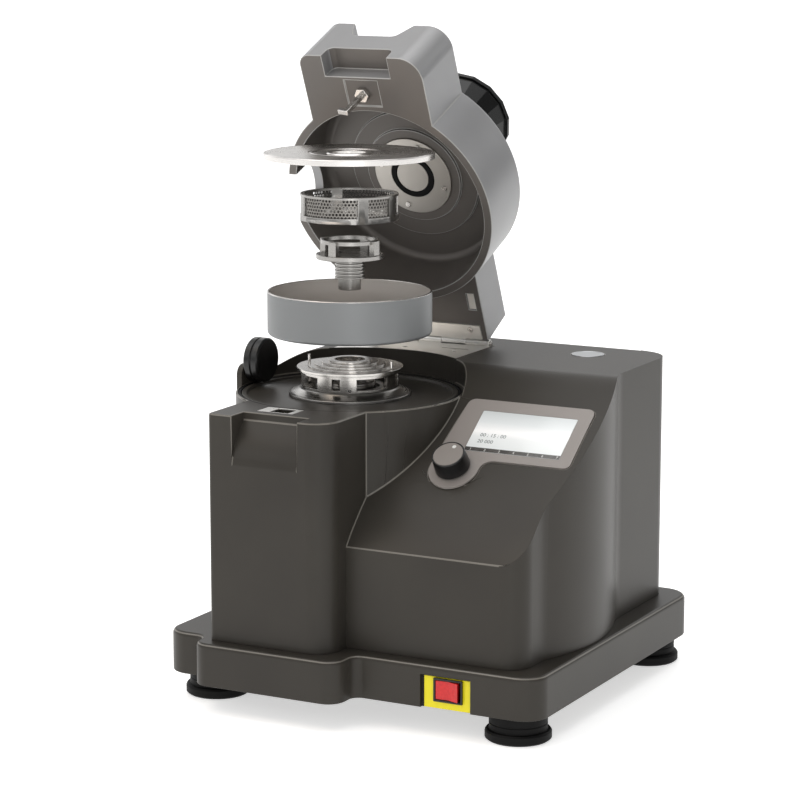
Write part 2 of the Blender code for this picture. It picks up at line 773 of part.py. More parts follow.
def make_feet():
    profile = [(0, 0), (PAD_R - PAD_EDGE, 0), (PAD_R, PAD_EDGE), (PAD_R, PAD_HEIGHT - PAD_EDGE),
               (PAD_R - PAD_EDGE, PAD_HEIGHT), (STEM_R, PAD_HEIGHT), (STEM_R, PLINTH_BASE - GAP),
               (0, PLINTH_BASE - GAP)]
    left, right = PLINTH_LEFT + FOOT_INSET, PLINTH_RIGHT - FOOT_INSET
    front, rear = PLINTH_FRONT + FOOT_INSET, PLINTH_REAR - FOOT_INSET
    places = {"foot_front_left": (left, front), "foot_front_right": (right, front),
              "foot_rear_left": (left, rear), "foot_rear_right": (right, rear)}
    for name, (x, y) in places.items():
        part(name, turned(profile, HIDDEN_STEPS, (x, y, 0)), "rubber", machine)


def make_housing():
    """One moulding: the sloping block, the chamber column and the well behind the chamber."""
    base = PLINTH_TOP + GAP
    plan = rounded([(0, BLOCK_FRONT, 0), (BLOCK_RIGHT, BLOCK_FRONT, BLOCK_FRONT_CORNER)]
                   + [(x, y, 0) for x, y in bulge()]
                   + [(BLOCK_RIGHT, BLOCK_REAR, BLOCK_REAR_CORNER),
                      (BLOCK_LEFT, BLOCK_REAR, BLOCK_REAR_CORNER), (BLOCK_LEFT, 0, 0), (0, 0, 0)])
    housing = part("main_housing", slab([plan], base, PLATEAU + OVERRUN), "housing_paint", machine)
    line = slope_line()
    rise = (line[1][1] - line[0][1]) / (line[1][0] - line[0][0])
    start = (BLOCK_FRONT - OVERRUN, SLOPE_FOOT - OVERRUN * rise)
    side = [(start[0], base - OVERRUN), start] + line[1:] + [
        (BLOCK_REAR + OVERRUN, PLATEAU), (BLOCK_REAR + OVERRUN, base - OVERRUN)]
    wedge = slab([side], BLOCK_LEFT - OVERRUN, BLOCK_RIGHT + BULGE_PEAK + OVERRUN, ALONG_X)
    combine(housing, tool("slope_envelope", wedge, machine), "INTERSECT")
    shoulder = [(SHOULDER_START, PLATEAU + OVERRUN)]
    for step in range(SHOULDER_STEPS + 1):
        share = step / SHOULDER_STEPS
        shoulder.append((SHOULDER_START + (SHOULDER_END - SHOULDER_START) * share,
                         PLATEAU - SHOULDER_DROP * share ** 2))
    shoulder.append((SHOULDER_END, PLATEAU + OVERRUN))
    cut(housing, tool("shoulder", slab([shoulder], -OVERRUN, BLOCK_REAR + OVERRUN, ALONG_Y), machine))
    well = rod(WELL_R, DECK, PLATEAU + OVERRUN * 2, ROUND_STEPS)
    cut(housing, tool("chamber_well", well, machine))
    column = tool("chamber_column", slab([keyhole(COLUMN_FRONT, COLUMN_CORNER)], base, DECK), machine)
    soften(column, RIM_EDGE, 1, at_height(DECK))
    join(housing, column)
    for shape in inner_bays() + wall_cuts() + deck_cuts() + hinge_cuts() + panel_cuts():
        cut(housing, shape)


def inner_bays():
    """The bays that run from the plinth's tray up into the moulding."""
    base = PLINTH_BASE + TRAY_FLOOR
    if bays:
        return bays
    motor_bay = rod(MOTOR_BAY_R, base, DECK - DECK_FLOOR, HIDDEN_STEPS)
    bay_front = BLOCK_FRONT + MOULD_WALL
    lowered = [(y, z) for y, z in slope_line(MOULD_WALL * SLOPE_COVER_SHARE) if bay_front < y < MOULD_WALL]
    first, last = lowered[0], lowered[-1]
    front_side = [(bay_front, base), (bay_front, first[1] - MOULD_WALL / 2)] + lowered + [(last[0], base)]
    right = BLOCK_RIGHT - MOULD_WALL
    front_bay = slab([front_side], MOULD_WALL, right, ALONG_X)
    rear_bay = box((BLOCK_LEFT + MOULD_WALL, last[0] - OVERRUN, base),
                   (right, BLOCK_REAR - MOULD_WALL, DECK - REAR_BAY_COVER))
    bays.extend([tool("motor_bay", motor_bay, machine), tool("front_bay", front_bay, machine),
                 tool("rear_bay", rear_bay, machine)])
    return bays


def wall_cuts():
    """The rear opening of the mains inlet and the finger recess at the top of the column."""
    half_w, half_h = INLET_WIDTH / 2 + GAP, INLET_HEIGHT / 2 + GAP
    inlet = box((INLET_X - half_w, BLOCK_REAR - MOULD_WALL - OVERRUN, INLET_Z - half_h),
                (INLET_X + half_w, BLOCK_REAR + OVERRUN, INLET_Z + half_h))
    recess = [(COLUMN_FRONT - OVERRUN, DECK + OVERRUN), (RECESS_BACK, DECK + OVERRUN),
              (RECESS_BACK, DECK - RECESS_DROP), (COLUMN_FRONT, DECK - RECESS_DEPTH),
              (COLUMN_FRONT - OVERRUN, DECK - RECESS_DEPTH)]
    finger = slab([recess], RECESS_LEFT, RECESS_RIGHT, ALONG_X)
    return [tool("inlet_opening", inlet, machine), tool("finger_recess", finger, machine)]


def deck_cuts():
    """Well for the chamber floor, bore for the drive, and the latch's plate seat and slots."""
    floor_well = rod(FLOOR_WELL_R, DECK - FLOOR_WELL_DEPTH, DECK + OVERRUN, ROUND_STEPS)
    bore = rod(DECK_BORE_R, DECK - DECK_FLOOR - OVERRUN, DECK, ROUND_STEPS // 2)
    seat = box((STRIKE_LEFT - GAP, strike_front() - GAP, DECK - STRIKE_THICKNESS - GAP),
               (STRIKE_RIGHT + GAP, STRIKE_REAR + GAP, DECK + OVERRUN))
    socket = box(*socket_box(SOCKET_DEPTH))
    slot = box((LATCH_X - BOLT_WIDTH / 2 - BOLT_HOOK - SLOT_MARGIN, LATCH_Y - BOLT_DEPTH / 2 - SLOT_SWING,
                DECK - SLOT_DEPTH),
               (LATCH_X + BOLT_WIDTH / 2 + SLOT_MARGIN, LATCH_Y + BOLT_DEPTH / 2 + SLOT_MARGIN, DECK))
    return [tool("floor_well", floor_well, machine), tool("deck_bore", bore, machine),
            tool("strike_seat", seat, machine), tool("latch_socket", socket, machine),
            tool("latch_slot", slot, machine)]


def strike_front():
    return LATCH_Y - BOSS_ACROSS / 2 - SOCKET_MARGIN - SOCKET_SWING - STRIKE_THICKNESS


def socket_box(depth):
    """The opening that takes the hexagonal boss and the hook when the lid is down."""
    half = BOSS_ACROSS / 2 + SOCKET_MARGIN
    hook_side = LATCH_X - BOLT_WIDTH / 2 - BOLT_HOOK - SLOT_MARGIN
    return ((min(LATCH_X - half, hook_side), LATCH_Y - half - SOCKET_SWING, DECK - depth),
            (LATCH_X + half, LATCH_Y + half, DECK + OVERRUN))


def leaf_outline(margin=0.0):
    """The lower leaf follows the chamber well at its front."""
    reach = WELL_R + LEAF_ARC_MARGIN - margin
    side = sqrt(reach ** 2 - LEAF_HALF ** 2)
    front = arc(reach, atan2(side, LEAF_HALF), pi - atan2(side, LEAF_HALF), SMALL_STEPS)
    return [(LEAF_HALF + margin, LEAF_BACK)] + [(LEAF_HALF + margin, side)] + front[1:-1] + [
        (-LEAF_HALF - margin, side), (-LEAF_HALF - margin, LEAF_BACK)]


def hinge_cuts():
    """Seat of the lower leaf and the trough under the hinge barrel."""
    base = PLATEAU - LEAF_THICKNESS - GAP
    seat = slab([leaf_outline(GAP)], base, PLATEAU + OVERRUN)
    trough = rod(TROUGH_R, -LEAF_HALF - PIN_HEAD - GAP, LEAF_HALF + PIN_HEAD + GAP, SMALL_STEPS,
                 (0, HINGE_Y, HINGE_Z), ALONG_X)
    cap_seat = rod(TOP_CAP_R + GAP, PLATEAU + TOP_CAP_PROUD - TOP_CAP_THICKNESS - GAP, PLATEAU + OVERRUN,
                   HIDDEN_STEPS, (TOP_CAP_X, TOP_CAP_Y, 0))
    return [tool("leaf_seat", seat, machine), tool("barrel_trough", trough, machine),
            tool("cap_seat", cap_seat, machine)]


def panel_outline(margin=0.0):
    """A rectangle with a round lobe for the knob at its lower left."""
    lobe_left, lobe_right = KNOB_A - PANEL_LOBE_R - margin, KNOB_A + PANEL_LOBE_R + margin
    lobe_bottom = KNOB_B - PANEL_LOBE_R - margin
    return rounded([
        (PANEL_LEFT_TOP - margin, PANEL_TOP + margin, PANEL_TOP_CORNER),
        (lobe_left, lobe_bottom, PANEL_LOBE_R - margin),
        (lobe_right, lobe_bottom, PANEL_LOBE_R - margin),
        (lobe_right, PANEL_BOTTOM - margin, PANEL_LOBE_FILLET),
        (PANEL_RIGHT + margin, PANEL_BOTTOM - margin, PANEL_BOTTOM_CORNER),
        (PANEL_RIGHT + margin, PANEL_TOP + margin, PANEL_TOP_CORNER)])


def panel_cuts():
    """Seat of the panel overlay and the bore for the knob's spindle."""
    seat = slab([panel_outline(GAP)], -PANEL_SUNK - GAP, OVERRUN * 2)
    bore = rod(SPINDLE_R + SPINDLE_BORE_MARGIN, -SPINDLE_LENGTH - OVERRUN, OVERRUN, SMALL_STEPS,
               (KNOB_A, KNOB_B, 0))
    return [tool("panel_seat", seat, panel), tool("spindle_bore", bore, panel)]


def make_deck_fittings():
    """Seal ring, chamber floor, strike plate, and the ear with its plug."""
    seal_base = DECK - FLOOR_WELL_DEPTH + GAP
    part("deck_seal_ring", turned([(SEAL_INNER_R, seal_base), (SEAL_INNER_R, DECK - GAP),
                                   (SEAL_OUTER_R, DECK - GAP),
                                   (SEAL_OUTER_R, seal_base)]), "rubber", machine)
    floor_top = seal_base + FLOOR_THICKNESS
    floor_r = SEAL_INNER_R - GAP
    rim_top = DECK - FLOOR_RIM_DROP
    part("chamber_floor", turned([
        (DECK_BORE_R + GAP, seal_base), (DECK_BORE_R + GAP, floor_top),
        (floor_r - FLOOR_RIM_WIDTH - FLOOR_CHAMFER, floor_top), (floor_r - FLOOR_RIM_WIDTH, rim_top),
        (floor_r - GAP, rim_top), (floor_r - GAP, seal_base)]), "housing_paint", machine)
    strike = part("lock_strike_plate", box((STRIKE_LEFT, strike_front(), DECK - STRIKE_THICKNESS),
                                           (STRIKE_RIGHT, STRIKE_REAR, DECK)), "steel", machine)
    cut(strike, tool("strike_opening", box(*socket_box(STRIKE_THICKNESS + OVERRUN)), machine))
    ear_right = EAR_LEFT + EAR_THICKNESS
    ear_side = rounded([(-EAR_HALF, EAR_FOOT, 0), (EAR_HALF, EAR_FOOT, 0),
                        (EAR_HALF, EAR_TOP, EAR_HALF / 2),
                        (-EAR_HALF, EAR_TOP, EAR_HALF / 2)])
    ear = part("port_ear", slab([ear_side], EAR_LEFT, ear_right, ALONG_X), "housing_paint", machine)
    root = tool("ear_root", box((ear_right - EAR_ROOT / 2, -EAR_HALF, EAR_FOOT),
                                (-CYLINDER_R + EAR_ROOT / 2, EAR_HALF, DECK - RIM_EDGE * 2)), machine)
    join(ear, root)
    cut(ear, tool("ear_saddle", rod(CYLINDER_R + EAR_SADDLE_GAP, EAR_FOOT - OVERRUN, EAR_TOP + OVERRUN,
                                    ROUND_STEPS), machine))
    face = PLUG_THICKNESS / 2
    plug = turned([(0, -face), (PLUG_R - PLUG_EDGE, -face), (PLUG_R, PLUG_EDGE - face),
                   (PLUG_R, -PLUG_GROOVE),
                   (PLUG_R - PLUG_GROOVE, 0), (PLUG_R, PLUG_GROOVE), (PLUG_R, face - PLUG_EDGE),
                   (PLUG_R - PLUG_EDGE, face), (0, face)], HIDDEN_STEPS,
                  (ear_right + GAP + face, 0, DECK + PLUG_HEIGHT), ALONG_X)
    part("side_port_plug", plug, "black_plastic", machine)


def make_hub():
    """Flange, cage and stepped top plate that hold the sieve ring over the drive."""
    base = DECK - FLOOR_WELL_DEPTH + FLOOR_THICKNESS + GAP * 2
    shelf = base + HUB_FLANGE_EDGE + HUB_FLANGE_RISE
    part("hub_base_flange", turned([
        (CARRIER_R + GAP, base), (CARRIER_R + GAP, shelf), (CAGE_R, shelf), (CAGE_R + HUB_PLATE_LIP,
                                                                             shelf - HUB_PLATE_LIP),
        (HUB_FLANGE_R - HUB_FLANGE_EDGE, base + HUB_FLANGE_SHOULDER), (HUB_FLANGE_R,
                                                                       base + HUB_FLANGE_EDGE),
        (HUB_FLANGE_R, base)]), "steel", machine)
    cage_base = shelf + GAP
    cage = part("hub_cage", turned([(CAGE_INNER_R, cage_base), (CAGE_INNER_R, CAGE_TOP), (CAGE_R, CAGE_TOP),
                                    (CAGE_R, cage_base)]), "steel", machine)
    window = 2 * pi * CAGE_R / CAGE_WINDOWS - CAGE_PILLAR
    for index in range(CAGE_WINDOWS // 2):
        opening = box((-CAGE_R * 2, -window / 2, cage_base + CAGE_RAIL),
                      (CAGE_R * 2, window / 2, CAGE_TOP - CAGE_RAIL))
        opening.transform(Matrix.Rotation(2 * pi * (index + 1 / 2) / CAGE_WINDOWS, 4, "Z"))
        cut(cage, tool("cage_window_%d" % index, opening, machine))
    plate_base = CAGE_TOP + GAP
    profile = [(HUB_BORE_R, plate_base), (HUB_PLATE_R - HUB_PLATE_LIP, plate_base),
               (HUB_PLATE_R - HUB_PLATE_LIP, plate_base + HUB_PLATE_LIP), (HUB_PLATE_R,
                                                                           plate_base + HUB_PLATE_LIP),
               (HUB_PLATE_R, HUB_PLATE_TOP)]
    height = HUB_PLATE_TOP
    for radius in HUB_STEP_R:
        profile += [(radius, height), (radius, height + HUB_STEP_RISE)]
        height += HUB_STEP_RISE
    part("hub_top_plate", turned(profile + [(HUB_BORE_R, height)]), "steel", machine)
    for name, x in (("sieve_pin_left", -PIN_CIRCLE_R), ("sieve_pin_right", PIN_CIRCLE_R)):
        pin = rod(PIN_R, HUB_PLATE_TOP + GAP, HUB_PLATE_TOP + PIN_HEIGHT, TINY_STEPS, (x, 0, 0))
        part(name, pin, "steel", machine)


def make_drive():
    """Motor, its mounting plate, the bearing carrier with its bearing, and the shaft."""
    bearing_base = BEARING_TOP - BEARING_WIDTH
    part("bearing_carrier", turned([
        (BEARING_R + GAP, CARRIER_BASE), (BEARING_R + GAP, BEARING_TOP + GAP),
        (ROTOR_SLEEVE_R + SLEEVE_CLEARANCE, BEARING_TOP + GAP), (ROTOR_SLEEVE_R + SLEEVE_CLEARANCE,
                                                                 CARRIER_TOP),
        (CARRIER_HEAD_R - CARRIER_CHAMFER, CARRIER_TOP), (CARRIER_HEAD_R, CARRIER_TOP - CARRIER_CHAMFER),
        (CARRIER_HEAD_R, DECK), (CARRIER_R, DECK), (CARRIER_R, CARRIER_BASE)], HIDDEN_STEPS),
        "steel", machine)
    part("shaft_bearing", turned([
        (SHAFT_R + GAP, bearing_base), (SHAFT_R + GAP, BEARING_TOP), (BEARING_R, BEARING_TOP),
        (BEARING_R, bearing_base)], HIDDEN_STEPS), "steel", machine)
    plate_top = DECK - DECK_FLOOR - GAP
    plate_base = plate_top - MOTOR_PLATE_THICKNESS
    part("motor_plate", turned([
        (CARRIER_R + GAP, plate_base), (CARRIER_R + GAP, plate_top), (MOTOR_PLATE_R, plate_top),
        (MOTOR_PLATE_R, plate_base)], HIDDEN_STEPS), "aluminium", machine)
    motor_top = min(plate_base, CARRIER_BASE) - GAP
    motor_base = motor_top - MOTOR_LENGTH
    part("motor", turned([
        (SHAFT_R + GAP, motor_top), (MOTOR_R, motor_top), (MOTOR_R, motor_base),
        (MOTOR_END_R, motor_base), (MOTOR_END_R, motor_base - MOTOR_END_LENGTH), (0,
                                                                                  motor_base - MOTOR_END_LENGTH),
        (0, motor_top - MOTOR_BORE_DEPTH), (SHAFT_R + GAP, motor_top - MOTOR_BORE_DEPTH)], HIDDEN_STEPS),
        "motor_grey", machine)
    part("drive_shaft", turned([
        (0, SHAFT_BASE), (SHAFT_R, SHAFT_BASE), (SHAFT_R, SHAFT_NOSE_BASE), (SHAFT_NOSE_R, SHAFT_NOSE_BASE),
        (SHAFT_NOSE_R, SHAFT_TOP), (0, SHAFT_TOP)], SMALL_STEPS), "steel", machine)


def make_pan():
    """Ring-shaped tray with a raised centre; its inner lip rests on the hub."""
    lip_base = HUB_PLATE_TOP + GAP
    base = PAN_BASE
    inner_top = lip_base + PAN_WALL
    rim = base + PAN_HEIGHT
    fillet = PAN_FLOOR_FILLET
    outer_corner = arc(fillet, -pi / 2, 0, 2, (PAN_R - fillet, base + fillet))
    inner_corner = arc(fillet - PAN_WALL, 0, -pi / 2, 2, (PAN_R - fillet, base + fillet))
    profile = [(PAN_INNER_R, base)] + outer_corner + [(PAN_R, rim),
                                                      (PAN_R - PAN_WALL, rim)] + inner_corner + [
        (PAN_INNER_R + PAN_WALL, base + PAN_WALL), (PAN_INNER_R + PAN_WALL, inner_top), (PAN_LIP_R,
                                                                                         inner_top),
        (PAN_LIP_R, lip_base), (PAN_INNER_R, lip_base)]
    part("collecting_pan", turned(profile), "aluminium", pan_frame)


def make_rotor():
    """Ribbed neck on a sleeve, a flange, and four blades that carry a top ring."""
    ribs = []
    pitch = (ROTOR_NECK_TOP - ROTOR_NECK_BASE) / ROTOR_RIBS
    for index in range(ROTOR_RIBS):
        low = ROTOR_NECK_BASE + index * pitch
        valley_r = ROTOR_NECK_R - ROTOR_RIB_DEPTH
        ribs += [(ROTOR_NECK_R, low), (ROTOR_NECK_R, low + pitch / 2),
                 (valley_r, low + pitch * RIB_SLOPE_SHARE), (valley_r, low + pitch * RIB_VALLEY_SHARE)]
    profile = [(0, SHAFT_TOP + GAP), (0, ROTOR_FLANGE_TOP), (ROTOR_FLANGE_R, ROTOR_FLANGE_TOP),
               (ROTOR_FLANGE_R, ROTOR_FLANGE_BASE), (ROTOR_NECK_R - ROTOR_RIB_DEPTH, ROTOR_FLANGE_BASE)]
    profile += ribs[::-1] + [(ROTOR_SLEEVE_R, ROTOR_NECK_BASE), (ROTOR_SLEEVE_R, ROTOR_SLEEVE_BASE),
                             (ROTOR_BORE_R, ROTOR_SLEEVE_BASE), (ROTOR_BORE_R, SHAFT_TOP + GAP)]
    rotor = part("rotor", turned(profile, HIDDEN_STEPS), "steel", rotor_frame)
    ring_inner = ROTOR_RING_R - ROTOR_RING_WALL
    ring_base = ROTOR_TOP - ROTOR_RING_HEIGHT
    ring = turned([(ring_inner, ring_base), (ring_inner, ROTOR_TOP), (ROTOR_RING_R, ROTOR_TOP),
                   (ROTOR_RING_R, ring_base)], HIDDEN_STEPS)
    for index in range(ROTOR_BLADES):
        blade = box((ROTOR_FLANGE_R - ROTOR_BLADE_DEPTH, -ROTOR_BLADE_WIDTH / 2,
                     ROTOR_FLANGE_TOP - ROTOR_BLADE_ROOT),
                    (ROTOR_FLANGE_R - RIM_EDGE, ROTOR_BLADE_WIDTH / 2, ROTOR_TOP - RIM_EDGE / 2))
        blade.transform(Matrix.Rotation(ROTOR_BLADE_TURN + 2 * pi * index / ROTOR_BLADES, 4, "Z"))
        join(rotor, tool("rotor_blade_%d" % index, blade, rotor_frame))
    join(rotor, tool("rotor_ring", ring, rotor_frame))


def make_sieve():
    """Frame of two rails and six posts round a thin screen."""
    top = SIEVE_BASE + SIEVE_HEIGHT
    inner = SIEVE_R - SIEVE_WALL
    frame = part("sieve_frame", turned([(inner, SIEVE_BASE), (inner, top), (SIEVE_R, top),
                                        (SIEVE_R, SIEVE_BASE)]),
                 "steel", sieve_frame)
    low, high = SIEVE_BASE + SIEVE_SILL, top - SIEVE_RAIL
    window_ring = turned([(inner / 2, low), (inner / 2, high), (SIEVE_R * 2, high), (SIEVE_R * 2, low)])
    windows = tool("sieve_windows", window_ring, sieve_frame)
    for index, angle in enumerate(SIEVE_POST_ANGLES):
        keep = box((inner / 4, -SIEVE_POST / 2, low - OVERRUN),
                   (SIEVE_R * 3, SIEVE_POST / 2, high + OVERRUN))
        keep.transform(Matrix.Rotation(angle, 4, "Z"))
        cut(windows, tool("sieve_post_%d" % index, keep, sieve_frame))
    cut(frame, windows)
    groove_r = SIEVE_R - SCREEN_SEAT
    groove = turned([(groove_r - SCREEN_THICKNESS - GAP, low - RIM_EDGE),
                     (groove_r - SCREEN_THICKNESS - GAP, high + GAP),
                     (groove_r + GAP, high + GAP), (groove_r + GAP, low - RIM_EDGE)])
    cut(frame, tool("screen_groove", groove, sieve_frame))
    for side in (-1, 1):
        hole = rod(SIEVE_PIN_HOLE_R, SIEVE_BASE - OVERRUN, HUB_PLATE_TOP + PIN_HEIGHT + GAP * 2, TINY_STEPS,
                   (side * PIN_CIRCLE_R, 0, 0))
        cut(frame, tool("pin_hole_%s" % ("left" if side < 0 else "right"), hole, sieve_frame))
    part("sieve_screen", turned([
        (groove_r - SCREEN_THICKNESS, HUB_PLATE_TOP + PIN_HEIGHT + GAP * 4),
        (groove_r - SCREEN_THICKNESS, high),
        (groove_r, high), (groove_r, HUB_PLATE_TOP + PIN_HEIGHT + GAP * 4)]), "steel", sieve_frame)


def make_cover():
    """Disc that closes the pan, with a dished ring round its mouth."""
    top = COVER_BASE + COVER_THICKNESS
    skirt = COVER_BASE - COVER_SKIRT
    inner = COVER_R - COVER_SKIRT_WALL
    part("pan_cover", turned([
        (COVER_MOUTH_R, COVER_BASE), (COVER_MOUTH_R, top), (COVER_NECK_R, top),
        (COVER_NECK_R + COVER_DISH, top - COVER_DISH), (COVER_RING_R - COVER_DISH, top - COVER_DISH),
        (COVER_RING_R, top), (COVER_R - COVER_DISH / 2, top), (COVER_R, top - COVER_DISH / 2), (COVER_R,
                                                                                                skirt),
                                                                                                (inner,
                                                                                                 skirt),
        (inner, COVER_BASE)]), "steel", cover_frame)


def make_lid():
    """Deep cover with the nose in front, the tail over the hinge and a stepped round cavity."""
    lid_base = DECK + GAP
    outline = keyhole(LID_FRONT, LID_NOSE_CORNER, LID_REAR)
    lid = part("lid_shell", slab([outline], lid_base, LID_TOP), "lid_paint", lid_frame)
    soften(lid, LID_EDGE, LID_EDGE_STEPS, at_height(LID_TOP))
    side_angle = atan2(sqrt(CYLINDER_R ** 2 - COLUMN_HALF ** 2), COLUMN_HALF)
    under = arc(CYLINDER_R, side_angle, pi - side_angle, ROUND_STEPS // 3)
    wide = COLUMN_HALF + OVERRUN
    relief = under + [(-wide, under[-1][1]), (-wide, LID_REAR + OVERRUN), (wide, LID_REAR + OVERRUN),
                      (wide, under[0][1])]
    cut(lid, tool("tail_relief", slab([relief], DECK - OVERRUN, LID_TAIL_BASE), lid_frame))
    chamfer = [(LID_TAIL_CHAMFER_Y, LID_TOP), (LID_REAR, LID_TAIL_CHAMFER_Z),
               (LID_REAR + OVERRUN, LID_TAIL_CHAMFER_Z),
               (LID_REAR + OVERRUN, LID_TOP + OVERRUN), (LID_TAIL_CHAMFER_Y, LID_TOP + OVERRUN)]
    cut(lid, tool("tail_chamfer", slab([chamfer], -wide, wide, ALONG_X), lid_frame))
    cut(lid, tool("lid_cavity", turned(cavity_profile()), lid_frame))
    cut(lid, tool("inlet_bore", rod(LID_INLET_R, LID_CEILING - OVERRUN * 3, LID_TOP + OVERRUN,
                                    HIDDEN_STEPS), lid_frame))
    plug_z = DECK + PLUG_HEIGHT
    notch = [(-LID_NOTCH_HALF, DECK - OVERRUN)] + arc(LID_NOTCH_HALF, pi, 0, TINY_STEPS, (0, plug_z)) + [
        (LID_NOTCH_HALF, DECK - OVERRUN)]
    cut(lid, tool("plug_notch", slab([notch], -CYLINDER_R - OVERRUN, -LID_CAVITY_R / 2, ALONG_X),
                  lid_frame))
    pocket_top = DECK + LID_POCKET_HEIGHT
    pocket = rounded([(LID_POCKET_LEFT, DECK - OVERRUN, 0), (LID_POCKET_RIGHT, DECK - OVERRUN, 0),
                      (LID_POCKET_RIGHT, pocket_top, LID_POCKET_CORNER), (LID_POCKET_LEFT, pocket_top,
                                                                          LID_POCKET_CORNER)])
    back = LID_FRONT + LID_POCKET_DEPTH
    cut(lid, tool("finger_pocket", slab([pocket], LID_FRONT - OVERRUN, back, ALONG_Y), lid_frame))
    grip = rounded([(LID_GRIP_LEFT, LID_TOP + OVERRUN, 0),
                    (LID_GRIP_LEFT + LID_GRIP_SLANT, LID_GRIP_FLOOR, LID_GRIP_CORNER),
                    (LID_GRIP_RIGHT - LID_GRIP_SLANT, LID_GRIP_FLOOR, LID_GRIP_CORNER), (LID_GRIP_RIGHT,
                                                                                         LID_TOP + OVERRUN, 0)])
    cut(lid, tool("grip_notch", slab([grip], LID_FRONT - OVERRUN, back, ALONG_Y), lid_frame))
    latch_recess = box((LATCH_X - LATCH_RECESS_HALF, LATCH_Y - LATCH_RECESS_FRONT, DECK - OVERRUN),
                       (LATCH_X + LATCH_RECESS_HALF, LATCH_Y + LATCH_RECESS_REAR,
                        lid_base + LATCH_RECESS_DEPTH))
    cut(lid, tool("latch_recess", latch_recess, lid_frame))
    leaf_seat = box((-LID_LEAF_HALF - GAP, LID_LEAF_FRONT - GAP, LID_TAIL_BASE - OVERRUN),
                    (LID_LEAF_HALF + GAP, LID_REAR + OVERRUN, LID_TAIL_BASE + LEAF_THICKNESS + GAP))
    cut(lid, tool("lid_leaf_seat", leaf_seat, lid_frame))
    barrel = rod(TROUGH_R, -LEAF_HALF - OVERRUN, LEAF_HALF + OVERRUN, SMALL_STEPS,
                 (0, HINGE_Y, HINGE_Z), ALONG_X)
    cut(lid, tool("lid_barrel_trough", barrel, lid_frame))
    sensor = box((SENSOR_LEFT - GAP, SENSOR_FRONT - GAP, LID_TAIL_BASE - OVERRUN),
                 (SENSOR_RIGHT + GAP, SENSOR_REAR + GAP,
                  LID_TAIL_BASE + SENSOR_THICKNESS + SENSOR_RECESS + GAP))
    cut(lid, tool("sensor_seat", sensor, lid_frame))


def cavity_profile():
    """Round cavity with a filleted ceiling that steps down twice towards the inner plate."""
    fillet = LID_CEILING_FILLET
    profile = [(0, DECK - OVERRUN), (LID_CAVITY_R, DECK - OVERRUN), (LID_CAVITY_R, DECK)]
    profile += arc(fillet, 0, pi / 2, 4, (LID_CAVITY_TOP_R - fillet, LID_CEILING - fillet))
    height = LID_CEILING
    for radius in LID_STEP_R:
        profile += [(radius, height), (radius, height - LID_STEP_DROP)]
        height -= LID_STEP_DROP
    return profile + [(0, height)]


def make_lid_fittings():
    """Inner plate with the inlet disc, its seal and screws, the latch and the sensor plate."""
    ceiling = LID_CEILING - LID_STEP_DROP * len(LID_STEP_R)
    plate_top = ceiling - GAP
    plate_base = plate_top - INNER_PLATE_THICKNESS
    seal_inner = INLET_DISC_R + GAP
    seal_top = plate_base + INLET_SEAL_SEAT
    part("lid_inner_plate", turned([
        (seal_inner, seal_top + GAP), (seal_inner, plate_top), (INNER_PLATE_R,
                                                                plate_top), (INNER_PLATE_R, plate_base),
        (INLET_SEAL_R + GAP, plate_base), (INLET_SEAL_R + GAP,
                                           seal_top + GAP)], HIDDEN_STEPS), "steel", lid_frame)
    part("lid_feed_seal", turned([
        (seal_inner, plate_base - INLET_SEAL_PROUD), (seal_inner, seal_top), (INLET_SEAL_R, seal_top),
        (INLET_SEAL_R, plate_base - INLET_SEAL_PROUD)], HIDDEN_STEPS), "rubber", lid_frame)
    part("feed_inlet_disc", rod(INLET_DISC_R, plate_base - INLET_DISC_PROUD, FUNNEL_TUBE_BASE - GAP,
                                HIDDEN_STEPS),
         "aluminium", lid_frame)
    for index in range(PLATE_SCREWS):
        angle = PLATE_SCREW_TURN + 2 * pi * index / PLATE_SCREWS
        centre = (PLATE_SCREW_CIRCLE_R * cos(angle), PLATE_SCREW_CIRCLE_R * sin(angle), 0)
        head = rod(PLATE_SCREW_R, plate_base - PLATE_SCREW_HEIGHT - GAP, plate_base - GAP, TINY_STEPS,
                   centre)
        part("plate_screw_%d" % (index + 1), head, "steel", lid_frame)
    recess_floor = DECK + GAP + LATCH_RECESS_DEPTH
    boss_base = recess_floor - GAP - BOSS_HEIGHT
    hexagon = arc(BOSS_ACROSS / 2 / cos(pi / 6), 0, 2 * pi, 6, (LATCH_X, LATCH_Y))[:-1]
    part("latch_boss", slab([hexagon], boss_base, recess_floor - GAP), "steel", lid_frame)
    bolt_base = DECK - BOLT_LENGTH
    side = BOLT_WIDTH / 2
    hook = [(LATCH_X - side, boss_base - GAP), (LATCH_X - side, bolt_base + BOLT_HOOK_HEIGHT),
            (LATCH_X - side - BOLT_HOOK, bolt_base + BOLT_HOOK_HEIGHT), (LATCH_X - side - BOLT_HOOK,
                                                                         bolt_base + BOLT_HOOK_HEIGHT / 3),
            (LATCH_X, bolt_base), (LATCH_X + side, bolt_base), (LATCH_X + side, boss_base - GAP)]
    part("latch_bolt", slab([hook], LATCH_Y - BOLT_DEPTH / 2, LATCH_Y + BOLT_DEPTH / 2, ALONG_Y),
         "steel", lid_frame)
    sensor_top = LID_TAIL_BASE + SENSOR_THICKNESS + SENSOR_RECESS
    part("lid_sensor_plate", box((SENSOR_LEFT, SENSOR_FRONT, sensor_top - SENSOR_THICKNESS),
                                 (SENSOR_RIGHT, SENSOR_REAR, sensor_top)), "steel", lid_frame)


